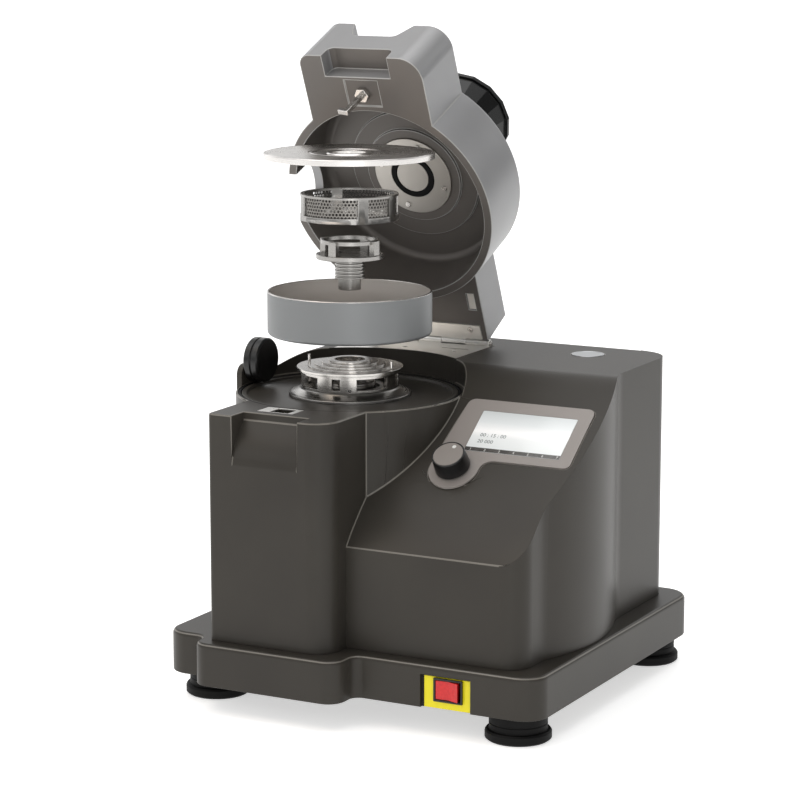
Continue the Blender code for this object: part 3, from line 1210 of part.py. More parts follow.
def knuckle(name, index, frame):
    """One tube of the hinge barrel; odd and even ones belong to different leaves."""
    pitch = 2 * HINGE_HALF / BARREL_KNUCKLES
    low = -HINGE_HALF + index * pitch + BARREL_CLEARANCE / 2
    tube = turned([(BARREL_BORE_R, low), (BARREL_BORE_R, low + pitch - BARREL_CLEARANCE),
                   (BARREL_R, low + pitch - BARREL_CLEARANCE), (BARREL_R, low)], TINY_STEPS,
                  (0, HINGE_Y, HINGE_Z), ALONG_X)
    return tool("%s_knuckle_%d" % (name, index), tube, frame)


def leaf_gap(name, index, low, high, frame):
    """Space that one leaf leaves for a knuckle of the other."""
    pitch = 2 * HINGE_HALF / BARREL_KNUCKLES
    left = -HINGE_HALF + index * pitch
    reach = BARREL_R + GAP * 2
    block = box((left - BARREL_CLEARANCE / 2, HINGE_Y - reach, low - OVERRUN),
                (left + pitch + BARREL_CLEARANCE / 2, HINGE_Y + reach, high + OVERRUN))
    return tool("%s_gap_%d" % (name, index), block, frame)


def make_hinge():
    """Two leaves with interleaved knuckles, the pin through them and their screws."""
    low, high = PLATEAU - LEAF_THICKNESS, PLATEAU
    lower = part("hinge_lower_leaf", slab([leaf_outline()], low, high), "steel", machine)
    lid_low, lid_high = LID_TAIL_BASE, LID_TAIL_BASE + LEAF_THICKNESS
    upper = part("hinge_upper_leaf", box((-LID_LEAF_HALF, LID_LEAF_FRONT, lid_low),
                                         (LID_LEAF_HALF, LEAF_BACK, lid_high)),
                 "steel", lid_frame)
    for index in range(BARREL_KNUCKLES):
        if index % 2:
            cut(lower, leaf_gap("lower", index, low, high, machine))
        else:
            cut(upper, leaf_gap("upper", index, lid_low, lid_high, lid_frame))
    for index in range(BARREL_KNUCKLES):
        if index % 2:
            join(upper, knuckle("upper", index, lid_frame))
        else:
            join(lower, knuckle("lower", index, machine))
    for leaf, frame, name in ((lower, machine, "lower_pin_bore"), (upper, lid_frame, "upper_pin_bore")):
        cut(leaf, tool(name, rod(BARREL_BORE_R, -LEAF_HALF - OVERRUN, LEAF_HALF + OVERRUN, TINY_STEPS,
                                 (0, HINGE_Y, HINGE_Z), ALONG_X), frame))
    slot = box((LEAF_SLOT_LEFT, LEAF_SLOT_Y - LEAF_SLOT_WIDTH / 2, low - OVERRUN),
               (LEAF_SLOT_RIGHT, LEAF_SLOT_Y + LEAF_SLOT_WIDTH / 2, high + OVERRUN))
    cut(lower, tool("sensor_slot", slot, machine))
    end = HINGE_HALF + GAP
    part("hinge_pin", turned([(0, -end - PIN_HEAD), (0, end + PIN_HEAD), (PIN_HEAD_R, end + PIN_HEAD),
                              (PIN_HEAD_R, end),
                              (PIN_ROD_R, end), (PIN_ROD_R, -end), (PIN_HEAD_R, -end), (PIN_HEAD_R,
                                                                                        -end - PIN_HEAD)],
                             TINY_STEPS, (0, HINGE_Y, HINGE_Z), ALONG_X), "steel", machine)
    screw_row(lower, "hinge_lower_screw", LEAF_SCREW_X, LEAF_SCREW_Y, low, machine)
    screw_row(upper, "hinge_upper_screw", LID_LEAF_SCREW_X, LID_LEAF_SCREW_Y, lid_low, lid_frame)


def screw_row(leaf, name, xs, y, low, frame):
    """Countersunk screws, flush in round holes of a leaf."""
    for index, x in enumerate(xs, 1):
        hole = rod(LEAF_SCREW_R + GAP, low - OVERRUN, low + LEAF_THICKNESS + OVERRUN, TINY_STEPS, (x, y, 0))
        cut(leaf, tool("%s_hole_%d" % (name, index), hole, frame))
        head = rod(LEAF_SCREW_R, low, low + LEAF_SCREW_HEAD, TINY_STEPS, (x, y, 0))
        part("%s_%d" % (name, index), head, "steel", frame)


def make_funnel():
    """Faceted black funnel whose tube drops into the lid's inlet."""
    lid_seat = LID_TOP + GAP
    profile = [(FUNNEL_BORE_R, FUNNEL_TUBE_BASE), (FUNNEL_BORE_R, FUNNEL_CONE_BASE),
               (FUNNEL_CONE_R - FUNNEL_WALL, FUNNEL_TOP), (FUNNEL_COLLAR_R, FUNNEL_TOP),
               (FUNNEL_COLLAR_R, FUNNEL_CONE_TOP), (FUNNEL_CONE_R, FUNNEL_CONE_TOP),
               (FUNNEL_TUBE_R, FUNNEL_CONE_BASE), (FUNNEL_TUBE_R, lid_seat + FUNNEL_FOOT),
               (FUNNEL_FOOT_R, lid_seat + FUNNEL_FOOT), (FUNNEL_FOOT_R, lid_seat), (FUNNEL_TUBE_R,
                                                                                    lid_seat),
               (FUNNEL_TUBE_R, FUNNEL_TUBE_BASE)]
    part("feed_funnel", turned(profile, FUNNEL_FACETS), "black_plastic", funnel_frame)


def make_panel():
    """Overlay, display glass and the knob on its spindle."""
    top = PANEL_THICKNESS - PANEL_SUNK
    overlay = part("panel_overlay", slab([panel_outline()], -PANEL_SUNK, top), "grey_foil", panel)
    corners = [(SCREEN_LEFT, SCREEN_TOP), (SCREEN_LEFT, SCREEN_BOTTOM), (SCREEN_RIGHT, SCREEN_BOTTOM),
               (SCREEN_RIGHT, SCREEN_TOP)]
    glass_base = top - SCREEN_GLASS
    middle = ((SCREEN_LEFT + SCREEN_RIGHT) / 2, (SCREEN_TOP + SCREEN_BOTTOM) / 2)
    seat = [(x + (GAP if x > middle[0] else -GAP), y + (GAP if y > middle[1] else -GAP),
             SCREEN_CORNER + GAP)
            for x, y in corners]
    cut(overlay, tool("glass_seat", slab([rounded(seat, 3)], glass_base - GAP, top + OVERRUN), panel))
    bore = rod(SPINDLE_R + SPINDLE_BORE_MARGIN, -OVERRUN, OVERRUN, SMALL_STEPS, (KNOB_A, KNOB_B, 0))
    cut(overlay, tool("overlay_bore", bore, panel))
    part("display_screen", slab([rounded([(x, y, SCREEN_CORNER) for x, y in corners], 3)], glass_base, top),
         "display_glass", panel)
    knob_base = top + KNOB_LIFT
    knob_top = knob_base + KNOB_HEIGHT
    bore_top = knob_base + KNOB_BORE_DEPTH
    part("knob_spindle", rod(SPINDLE_R, bore_top - GAP - SPINDLE_LENGTH, bore_top - GAP, SMALL_STEPS),
         "steel", knob_frame)
    cap_seat = knob_top - KNOB_CAP_THICKNESS
    part("control_knob", turned([
        (SPINDLE_R + GAP, knob_base), (SPINDLE_R + GAP, bore_top), (0, bore_top), (0,
                                                                                   cap_seat),
                                                                                   (KNOB_CAP_R + GAP,
                                                                                    cap_seat),
        (KNOB_CAP_R + GAP, knob_top), (KNOB_TOP_R - KNOB_EDGE / 2, knob_top), (KNOB_TOP_R,
                                                                               knob_top - KNOB_EDGE),
        (KNOB_R, knob_base + KNOB_EDGE), (KNOB_R, knob_base)], HIDDEN_STEPS), "black_plastic", knob_frame)
    part("knob_cap", turned([(0, cap_seat + GAP), (0, knob_top), (KNOB_CAP_R, knob_top),
                             (KNOB_CAP_R, cap_seat + GAP)],
                            HIDDEN_STEPS), "knob_grey", knob_frame)


def make_switch():
    """Yellow plate, black bezel and red rocker in the plinth's bay."""
    back = PLINTH_FRONT + SWITCH_BAY_DEPTH - GAP
    face = back - SWITCH_PLATE_THICKNESS
    plate = part("switch_plate", box((SWITCH_PLATE_LEFT, face, SWITCH_PLATE_BASE),
                                     (SWITCH_PLATE_RIGHT, back, SWITCH_PLATE_TOP)),
                 "yellow_plate", machine)
    opening = box((BEZEL_LEFT + BEZEL_WALL / 2, face - OVERRUN, BEZEL_BASE + BEZEL_WALL / 2),
                  (BEZEL_RIGHT - BEZEL_WALL / 2, back + OVERRUN, BEZEL_TOP - BEZEL_WALL / 2))
    cut(plate, tool("plate_opening", opening, machine))
    front = face - GAP - BEZEL_PROUD
    bezel = part("switch_bezel", box((BEZEL_LEFT, front, BEZEL_BASE), (BEZEL_RIGHT, face - GAP, BEZEL_TOP)),
                 "black_plastic", machine)
    inner = box((BEZEL_LEFT + BEZEL_WALL, front - OVERRUN, BEZEL_BASE + BEZEL_WALL),
                (BEZEL_RIGHT - BEZEL_WALL, back + OVERRUN, BEZEL_TOP - BEZEL_WALL))
    cut(bezel, tool("bezel_opening", inner, machine))
    half = (BEZEL_RIGHT - BEZEL_LEFT) / 2 - BEZEL_WALL - ROCKER_MARGIN
    low, high = BEZEL_BASE + BEZEL_WALL + GAP * 2, BEZEL_TOP - BEZEL_WALL - GAP * 2
    proud = front - ROCKER_PIVOT_Y - BEZEL_WALL / 2
    root = half * ROCKER_ROOT_SHARE
    shape = [(-half, proud + ROCKER_TILT), (0, proud + ROCKER_DISH), (half, proud - ROCKER_TILT),
             (root, proud + ROCKER_DEPTH), (-root, proud + ROCKER_DEPTH)]
    part("power_rocker", slab([shape], low, high), "red_switch", rocker_frame)


def make_small_fittings():
    """Top cap, rear mains inlet and the control board inside."""
    cap_base = PLATEAU + TOP_CAP_PROUD - TOP_CAP_THICKNESS
    cap_top = PLATEAU + TOP_CAP_PROUD
    part("top_cap", turned([(0, cap_base), (TOP_CAP_R, cap_base), (TOP_CAP_R, cap_top - GAP),
                            (TOP_CAP_R - TOP_CAP_EDGE, cap_top),
                            (0, cap_top)], HIDDEN_STEPS, (TOP_CAP_X, TOP_CAP_Y, 0)), "aluminium", machine)
    inlet_back = BLOCK_REAR + INLET_PROUD
    half_w, half_h = INLET_WIDTH / 2, INLET_HEIGHT / 2
    inlet = part("mains_inlet", box((INLET_X - half_w, inlet_back - INLET_DEPTH, INLET_Z - half_h),
                                    (INLET_X + half_w, inlet_back,
                                     INLET_Z + half_h)), "black_plastic", machine)
    wall = INLET_SOCKET_WALL
    socket = box((INLET_X - half_w + wall, inlet_back - INLET_DEPTH + wall, INLET_Z - half_h + wall),
                 (INLET_X + half_w - wall, inlet_back + OVERRUN, INLET_Z + half_h - wall))
    cut(inlet, tool("inlet_socket", socket, machine))
    part("control_board", box((BOARD_LEFT, BOARD_Y, BOARD_BASE),
                              (BOARD_RIGHT, BOARD_Y + BOARD_THICKNESS,
                               BOARD_BASE + BOARD_HEIGHT)), "board_green", machine)


rest_places = {}
bays = []
make_materials()
machine = empty("machine_frame", (-CENTRE_X, -CENTRE_Y, 0))
lid_frame = empty("lid_hinge_axis", (0, HINGE_Y, HINGE_Z), machine, (-LID_OPEN, 0, 0))
rest_places[lid_frame.name] = Matrix.Translation((0, -HINGE_Y, -HINGE_Z))
funnel_frame = lid_frame
pan_frame = empty("pan_lift", (0, 0, PAN_TRAVEL), machine)
rotor_frame = empty("rotor_lift", (0, 0, ROTOR_TRAVEL), machine)
sieve_frame = empty("sieve_lift", (0, 0, SIEVE_TRAVEL), machine)
cover_frame = empty("cover_lift", (0, 0, COVER_TRAVEL), machine)
panel = empty("panel_plane", (0, PANEL_Y, PANEL_Z), machine, (PANEL_ANGLE, 0, 0))
knob_frame = empty("knob_axis", (KNOB_A, KNOB_B, 0), panel)
rocker_frame = empty("rocker_axis", ((BEZEL_LEFT + BEZEL_RIGHT) / 2, ROCKER_PIVOT_Y, 0), machine,
                     (0, 0, -ROCKER_THROW / 2))

make_plinth()
make_feet()
make_housing()
make_deck_fittings()
make_hub()
make_drive()
make_pan()
make_rotor()
make_sieve()
make_cover()
make_lid()
make_lid_fittings()
make_hinge()
make_funnel()
make_panel()
make_switch()
make_small_fittings()
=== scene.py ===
"""Looks of the rotor mill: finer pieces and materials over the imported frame.

Every piece is modelled in millimetres about the axis of the grinding chamber, with the deck
at Z = 0, the lid closed and the grinding set seated. A place matrix then puts it where its
CAD node is: on the machine, on the opened lid, or lifted along the chamber axis.
"""
from math import atan2, cos, pi, radians, sin, sqrt, tan

import bpy
import bmesh
from mathutils import Matrix, Vector
from mathutils.geometry import interpolate_bezier


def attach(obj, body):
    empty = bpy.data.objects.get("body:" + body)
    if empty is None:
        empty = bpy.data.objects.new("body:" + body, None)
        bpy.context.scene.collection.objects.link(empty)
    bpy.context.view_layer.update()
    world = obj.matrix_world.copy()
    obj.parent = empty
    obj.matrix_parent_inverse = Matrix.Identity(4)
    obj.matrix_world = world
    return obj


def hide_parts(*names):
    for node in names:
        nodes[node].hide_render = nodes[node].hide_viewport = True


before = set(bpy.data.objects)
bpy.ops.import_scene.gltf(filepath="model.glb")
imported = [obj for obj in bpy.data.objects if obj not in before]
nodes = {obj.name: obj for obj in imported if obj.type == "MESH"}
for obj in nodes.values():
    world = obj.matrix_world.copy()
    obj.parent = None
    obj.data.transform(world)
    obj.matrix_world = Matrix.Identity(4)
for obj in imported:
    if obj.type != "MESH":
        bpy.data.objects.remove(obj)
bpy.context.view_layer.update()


# Camera and lamps: a long lens at the photograph's viewpoint, and four soft boxes round the
# bench. The warm key hangs high at the left, and the widest one overhead gives the steel
# its pale reflections.
def in_scene(name, data):
    """A new object that holds the data, linked to the scene."""
    made = bpy.data.objects.new(name, data)
    bpy.context.scene.collection.objects.link(made)
    return made


def colour(code):
    """A colour written as sRGB hex digits, in the linear values that shaders take."""
    shares = [int(code[place:place + 2], 16) / 255 for place in (0, 2, 4)]
    linear = [share / 12.92 if share <= 0.04045 else ((share + 0.055) / 1.055) ** 2.4 for share in shares]
    return (*linear, 1)


def lamp(name, place, aim, size, power, tint="ffffff"):
    """A soft box of a size in metres and a power in watts, turned to its aim."""
    light = bpy.data.lights.new(name, "AREA")
    light.shape = "RECTANGLE"
    light.size, light.size_y = size
    light.energy = power
    light.color = colour(tint)[:3]
    stand = in_scene(name, light)
    stand.location = place
    stand.rotation_euler = (Vector(aim) - Vector(place)).to_track_quat("-Z", "Y").to_euler()


lens = bpy.data.cameras.new("camera")
lens.lens = 128.57
lens.sensor_width = 36
lens.clip_end = 200
camera = in_scene("camera", lens)
camera.location = (1.3037, -2.5479, 0.8269)
camera.rotation_euler = (radians(90 - 10.65), 0, radians(27.89))
bpy.context.scene.camera = camera
bpy.context.scene.view_settings.view_transform = "Standard"
lamp("key_light", (-0.85, -1.6, 2.8), (0, 0, 0.3), (1.5, 1.1), 15, "fff1e3")
lamp("fill_light", (2.6, -1.2, 1.4), (0, 0, 0.3), (1.4, 1.8), 2.0)
lamp("front_light", (1.9, -3.0, 0.7), (0, 0, 0.25), (1.2, 0.8), 9.0)
lamp("top_light", (0.1, 0.3, 2.9), (0, 0, 0.3), (2.2, 2.0), 24)


# Plinth: the tray under the machine, a thick-walled moulding painted like the housing and
# screwed to it from below. It bulges in front under the column, and a bay in its front wall
# takes the mains switch.
WELD = 0.01
GROUND = -299.5
PLINTH_LOW = -271.8
PLINTH_TOP = -228.8
MILLIMETRES = Matrix.Diagonal((0.001, 0.001, 0.001, 1))
MACHINE = Matrix.Translation((-0.0776, -0.046535, -GROUND / 1000)) @ MILLIMETRES


def shader_of(name, base, rough, metallic=0.0, **plain):
    """A material, its tree, and its Principled shader with plain values set."""
    finish = bpy.data.materials.new(name)
    finish.use_nodes = True
    tree = finish.node_tree
    shader = tree.nodes["Principled BSDF"]
    shader.inputs["Base Color"].default_value = colour(base)
    shader.inputs["Roughness"].default_value = rough
    shader.inputs["Metallic"].default_value = metallic
    for key, value in plain.items():
        shader.inputs[key.replace("_", " ")].default_value = value
    return finish, tree, shader


def add(tree, kind, links=(), stops=(), **settings):
    """One node with its settings and values, its links as (output, input), and, for a colour
    ramp, its stops as (place, hex colour or grey)."""
    node = tree.nodes.new(kind)
    for key, value in settings.items():
        if hasattr(node, key):
            setattr(node, key, value)
        else:
            node.inputs[key.replace("_", " ")].default_value = value
    while stops and len(node.color_ramp.elements) < len(stops):
        node.color_ramp.elements.new(0.5)
    for index, (place, shade) in enumerate(stops):
        step = node.color_ramp.elements[index]
        step.position = place
        step.color = colour(shade) if isinstance(shade, str) else (shade, shade, shade, 1)
    for source, target in links:
        tree.links.new(source, node.inputs[target])
    return node


def mapped(tree, scale=(1, 1, 1), place=None):
    """Object coordinates in metres, read in a piece's own frame where one is given, and scaled."""
    where = add(tree, "ShaderNodeTexCoord").outputs["Object"]
    if place is not None:
        flat = (place @ MILLIMETRES.inverted()).inverted()
        where = add(tree, "ShaderNodeMapping", [(where, "Vector")], Rotation=flat.to_euler(),
                    Location=flat.to_translation()).outputs[0]
    return add(tree, "ShaderNodeMapping", [(where, "Vector")], Scale=scale).outputs[0]


def grained(tree, shader, grain, rough, spread, strength, depth=0.0002):
    """Lets a grain carry the shader's roughness and a slight relief, and returns the roughness."""
    gloss = add(tree, "ShaderNodeMapRange", [(grain, "Value")], To_Min=rough - spread, To_Max=rough + spread)
    relief = add(tree, "ShaderNodeBump", [(grain, "Height")], Strength=strength, Distance=depth)
    tree.links.new(gloss.outputs[0], shader.inputs["Roughness"])
    tree.links.new(relief.outputs[0], shader.inputs["Normal"])
    return gloss.outputs[0]


def moulded(name, dark, light, rough=0.5, grain=0.385, bump=0.06, **plain):
    """Moulded plastic or sprayed paint: a fine grain of a size in millimetres, over slow
    drifts of tone about 111 mm across."""
    finish, tree, shader = shader_of(name, light, rough, **plain)
    place = mapped(tree)
    drift = add(tree, "ShaderNodeTexNoise", [(place, "Vector")], Scale=1000 / 111.1, Detail=3.0)
    fine = add(tree, "ShaderNodeTexNoise", [(place, "Vector")], Scale=1000 / grain, Detail=2.0)
    tone = add(tree, "ShaderNodeValToRGB", [(drift.outputs[0], "Fac")], [(0.3, dark), (0.7, light)])
    tree.links.new(tone.outputs[0], shader.inputs["Base Color"])
    grained(tree, shader, fine.outputs[0], rough, 0.06, bump, 0.0003)
    return finish


# Textured two-part paint sprayed on foamed plastic: its grain, drawn coarser than the real
# 0.1 mm, breaks up the gloss, so the dark walls look dry and even. The roundings get a paler
# copy of the paint: a painted highlight.
housing = moulded("textured_paint", "34312d", "3a3732", 0.37, Specular_IOR_Level=0.22)
housing_painted_highlight = moulded("painted_highlight_paint", "6a665f", "726e67", 0.34)


def from_bmesh(work, matrix=None):
    """The worked faces as a mesh, welded, turned outward and moved by the matrix."""
    bmesh.ops.remove_doubles(work, verts=work.verts, dist=WELD)
    bmesh.ops.recalc_face_normals(work, faces=work.faces)
    if matrix:
        bmesh.ops.transform(work, matrix=matrix, verts=work.verts)
    if work.calc_volume(signed=True) < 0:
        bmesh.ops.reverse_faces(work, faces=work.faces)
    mesh = bpy.data.meshes.new("shape")
    work.to_mesh(mesh)
    work.free()
    return mesh


def evaluated(data, *modifiers):
    """The mesh of the data after modifiers given as (type, settings)."""
    guide = in_scene("guide", data)
    for kind, settings in modifiers:
        modifier = guide.modifiers.new(kind, kind)
        for key, value in settings.items():
            setattr(modifier, key, value)
    graph = bpy.context.evaluated_depsgraph_get()
    result = bpy.data.meshes.new_from_object(guide.evaluated_get(graph), preserve_all_data_layers=True,
                                             depsgraph=graph)
    bpy.data.objects.remove(guide, do_unlink=True)
    return result


def boolean(mesh, other, operation="DIFFERENCE"):
    """The mesh with the other one taken away, added or intersected."""
    shape = in_scene("cutter", other)
    result = evaluated(mesh, ("BOOLEAN", {"object": shape, "operation": operation, "solver": "EXACT"}))
    bpy.data.objects.remove(shape, do_unlink=True)
    return result


def cut(mesh, *others):
    """The mesh with each of the others taken away in turn."""
    for other in others:
        mesh = boolean(mesh, other)
    return mesh


def cleaned(mesh):
    """Drops the edges that lie inside flat faces."""
    work = bmesh.new()
    work.from_mesh(mesh)
    bmesh.ops.remove_doubles(work, verts=work.verts, dist=WELD)
    bmesh.ops.dissolve_degenerate(work, edges=work.edges, dist=WELD)
    bmesh.ops.dissolve_limit(work, angle_limit=radians(0.05), verts=work.verts, edges=work.edges)
    work.to_mesh(mesh)
    work.free()
    return mesh


def eased(mesh, width, segments=2, chosen=None, angle=32, finishes=(), clamp=True):
    """Rounds the sharp edges; a test of the two ends may choose among them, and the last of
    the finishes goes on the roundings."""
    mesh = cleaned(mesh)
    for finish in finishes:
        mesh.materials.append(finish)
    work = bmesh.new()
    work.from_mesh(mesh)
    layers = work.edges.layers.float
    layer = layers.get("bevel_weight_edge") or layers.new("bevel_weight_edge")
    for edge in work.edges:
        sharp = len(edge.link_faces) == 2 and edge.calc_face_angle(0) > radians(angle)
        edge[layer] = sharp and (chosen is None or all(chosen(end.co) for end in edge.verts))
    work.to_mesh(mesh)
    work.free()
    return evaluated(mesh, ("BEVEL", {"limit_method": "WEIGHT", "width": width, "segments": segments,
                                      "use_clamp_overlap": clamp, "material": len(finishes) - 1}))


def arc(radius, start, end, steps, centre=(0, 0)):
    """Points along part of a circle."""
    turns = [start + (end - start) * step / steps for step in range(steps + 1)]
    return [(centre[0] + radius * cos(turn), centre[1] + radius * sin(turn)) for turn in turns]


def rounded(corners, steps=10):
    """Straight sides whose corners (x, y) or (x, y, radius) are rounded."""
    points = []
    for index, corner in enumerate(corners):
        radius = corner[2] if len(corner) > 2 else 0
        here = Vector(corner[:2])
        if radius == 0:
            points.append((here.x, here.y))
            continue
        before = (Vector(corners[index - 1][:2]) - here).normalized()
        after = (Vector(corners[(index + 1) % len(corners)][:2]) - here).normalized()
        half = before.angle(after) / 2
        reach = radius / tan(half)
        centre = here + (before + after).normalized() * (radius / sin(half))
        first = here + before * reach - centre
        last = here + after * reach - centre
        start = atan2(first.y, first.x)
        sweep = (atan2(last.y, last.x) - start + pi) % (2 * pi) - pi
        points += arc(radius, start, start + sweep, steps, centre)
    return points


def slab(outlines, low, high, direction=None):
    """Flat outlines thickened from low to high, in XY unless a direction turns them."""
    curve = bpy.data.curves.new("outline", "CURVE")
    curve.dimensions = "2D"
    curve.fill_mode = "BOTH"
    curve.extrude = (high - low) / 2
    for points in outlines:
        spline = curve.splines.new("POLY")
        spline.points.add(len(points) - 1)
        spline.use_cyclic_u = True
        for point, place in zip(spline.points, points):
            point.co = (place[0], place[1], 0, 1)
    work = bmesh.new()
    work.from_mesh(evaluated(curve))
    bmesh.ops.remove_doubles(work, verts=work.verts, dist=WELD)
    bmesh.ops.dissolve_limit(work, angle_limit=radians(0.05), verts=work.verts, edges=work.edges)
    lift = Matrix.Translation((0, 0, (low + high) / 2))
    return from_bmesh(work, direction @ lift if direction else lift)


def box(low, high, turn=None):
    """A block between two corners, turned about the chamber axis where a turn is given."""
    work = bmesh.new()
    bmesh.ops.create_cube(work, size=1)
    size = Matrix.Diagonal([top - base for base, top in zip(low, high)]).to_4x4()
    centre = Matrix.Translation([(base + top) / 2 for base, top in zip(low, high)])
    return from_bmesh(work, turn @ centre @ size if turn else centre @ size)


def piece(name, mesh, finish, body, stands_for, place=MACHINE, angle=35):
    """A finished piece: shaded, placed, and riding on its body in place of its CAD node."""
    mesh.shade_smooth()
    mesh.set_sharp_from_angle(angle=radians(angle))
    mesh = evaluated(mesh, ("WEIGHTED_NORMAL", {"keep_sharp": True, "weight": 60}))
    mesh.transform(place)
    if len(mesh.materials) < 2:
        mesh.materials.clear()
        for one in finish if isinstance(finish, tuple) else (finish,):
            mesh.materials.append(one)
    mesh.name = name
    made = in_scene(name, mesh)
    if stands_for:
        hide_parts(*stands_for)
    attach(made, body)
    return made


def near(value, target):
    """Whether a height or place is the one meant."""
    return abs(value - target) < 0.2


outline = rounded([(-127, 236.5, 29), (-127, -159, 25), (-78, -159, 10), (-78, -188, 18),
                   (87, -188, 18), (87, -151, 10), (283.2, -151, 25), (283.2, 236.5, 29)])
plinth = slab([outline], PLINTH_LOW, PLINTH_TOP)
plinth = eased(plinth, 5, 5, lambda at: near(at.z, PLINTH_TOP))
plinth = eased(plinth, 1.2, 2, lambda at: near(at.z, PLINTH_LOW))
switch_bay = box((159, -155, -276), (213, -146, -238.5))
switch_hole = box((175, -150, -262), (202, -130, -242.5))
tray = piece("plinth_moulding", cut(plinth, switch_bay, switch_hole), (housing, housing_painted_highlight), "housing",
             ["base_plinth"])
# Faces of the top rounding that tilt up toward the lamps take the paler paint: a painted highlight.
for face in tray.data.polygons:
    if 0.6 < face.normal.z < 0.8:
        face.material_index = 1


# Feet: four soft rubber discs that damp the drive's vibration. Each is turned in at a groove
# on its neck, bonded to a threaded stud and screwed up into the plinth.
def lathe(profile, steps=144, centre=(0, 0, 0), direction=None, soft=3):
    """Spins a closed profile of (radius, height) or (radius, height, rounding) corners."""
    points = rounded(profile, soft)
    work = bmesh.new()
    rings = []
    for step in range(steps):
        turn = 2 * pi * step / steps
        rings.append([work.verts.new((max(r, 0) * cos(turn), max(r, 0) * sin(turn), z)) for r, z in points])
    for step in range(steps):
        here = rings[step]
        there = rings[(step + 1) % steps]
        for index in range(len(points)):
            after = (index + 1) % len(points)
            if points[index][0] <= 0 and points[after][0] <= 0:
                continue
            work.faces.new((here[index], there[index], there[after], here[after]))
    bmesh.ops.remove_doubles(work, verts=work.verts, dist=WELD / 10)
    bmesh.ops.dissolve_degenerate(work, edges=work.edges, dist=WELD / 10)
    place = Matrix.Translation(centre)
    return from_bmesh(work, place @ direction if direction else place)


# Nitrile rubber pressed in a blasted mould: black and dull, with hardly a highlight. Its
# grain is drawn at 0.67 mm, coarse enough to soften the rims.
rubber = moulded("nitrile_rubber", "020202", "040404", 0.6, 0.667, 0.12, Specular_IOR_Level=0.2)
for name, x, y in (("foot_front_left", -90.5, -114.5), ("foot_front_right", 246.7, -114.5),
                   ("foot_rear_left", -90.5, 200), ("foot_rear_right", 246.7, 200)):
    foot = lathe([(0, GROUND), (30, GROUND, 0.6), (32.5, -297.5, 0.8), (32.5, -291, 1.5), (31, -289, 0.6),
                  (28.5, -289, 0.8), (28.5, -283.2, 0.3), (27.9, -282.8, 0.3), (27.9, -281.8, 0.3),
                  (28.5, -281.4, 0.3), (28.5, -272.1), (0, -272.1)], 96, (x, y, 0))
    piece("rubber_" + name, foot, rubber, "housing", [name])


# Housing: one large painted moulding of the sloping block, the column of the grinding
# chamber in front and the well behind it. It carries every fitting and is screwed down on
# the plinth.
CYLINDER = 116
NOSE_HALF = 69
WALL_LOW = -228.5
REAR_DECK = 24.5
HINGE_AXIS = (0, 181, 27)
ALONG_X = Matrix(((0, 0, 1, 0), (1, 0, 0, 0), (0, 1, 0, 0), (0, 0, 0, 1)))
ALONG_Y = Matrix(((1, 0, 0, 0), (0, 0, 1, 0), (0, 1, 0, 0), (0, 0, 0, 1)))
PANEL = MACHINE @ Matrix.Translation((0, -13, -23)) @ Matrix.Rotation(radians(35.7), 4, "X")


def join(mesh, *others):
    """The mesh with each of the others added in turn."""
    for other in others:
        mesh = boolean(mesh, other, "UNION")
    return mesh


def rod(radius, low, high, steps=48, centre=(0, 0, 0), direction=None, soft=0):
    """A round bar, with its rims rounded where that is given."""
    return lathe([(0, low), (0, high), (radius, high, soft), (radius, low, soft)], steps, centre, direction)


def keyhole(front, left_corner, corner, rear=None, left=-NOSE_HALF):
    """The chamber cylinder's outline with its straight-sided nose, and a tail if it has one."""
    side = atan2(sqrt(CYLINDER ** 2 - NOSE_HALF ** 2), NOSE_HALF)
    corners = [(left, 0), (left, front, left_corner), (NOSE_HALF, front, corner), (NOSE_HALF, 0)]
    nose = rounded(corners)[1:-1]
    if rear is None:
        return nose + arc(CYLINDER, -side, pi + atan2(sqrt(CYLINDER ** 2 - left ** 2), -left), 150)
    tail = [(NOSE_HALF, rear), (-NOSE_HALF, rear)]
    return nose + arc(CYLINDER, -side, side, 60) + tail + arc(CYLINDER, pi - side, pi + side, 60)


def leaf_outline(half, radius):
    """The lower hinge leaf, its front edge cut round behind the chamber cylinder."""
    front = sqrt(119.5 ** 2 - half ** 2)
    turn = atan2(front, half)
    round_edge = arc(radius, turn, pi - turn, 48)[1:-1]
    return [(half, 181), (half, front)] + round_edge + [(-half, front), (-half, 181)]


def overlay_outline(margin=0.0):
    """The panel foil's rectangle, with a round lobe for the knob at its lower left."""
    left, right, low = 120 - margin, 174 + margin, -82 - margin
    return rounded([(128.5 - margin, 39 + margin, 8), (left, low, 27 - margin), (right, low, 27 - margin),
                    (right, -41 - margin, 12), (265.5 + margin, -41 - margin, 6),
                    (265.5 + margin, 39 + margin, 8)])


def outer_edge(at):
    """Whether a corner of the housing is on its outer edges, clear of chamber, strike and leaf."""
    at_leaf = at.y > 90 and abs(at.x) < 73
    at_strike = -139 < at.y < -115 and -29 < at.x < 13
    return at.z > -140 and at.to_2d().length > 114.5 and not at_leaf and not at_strike


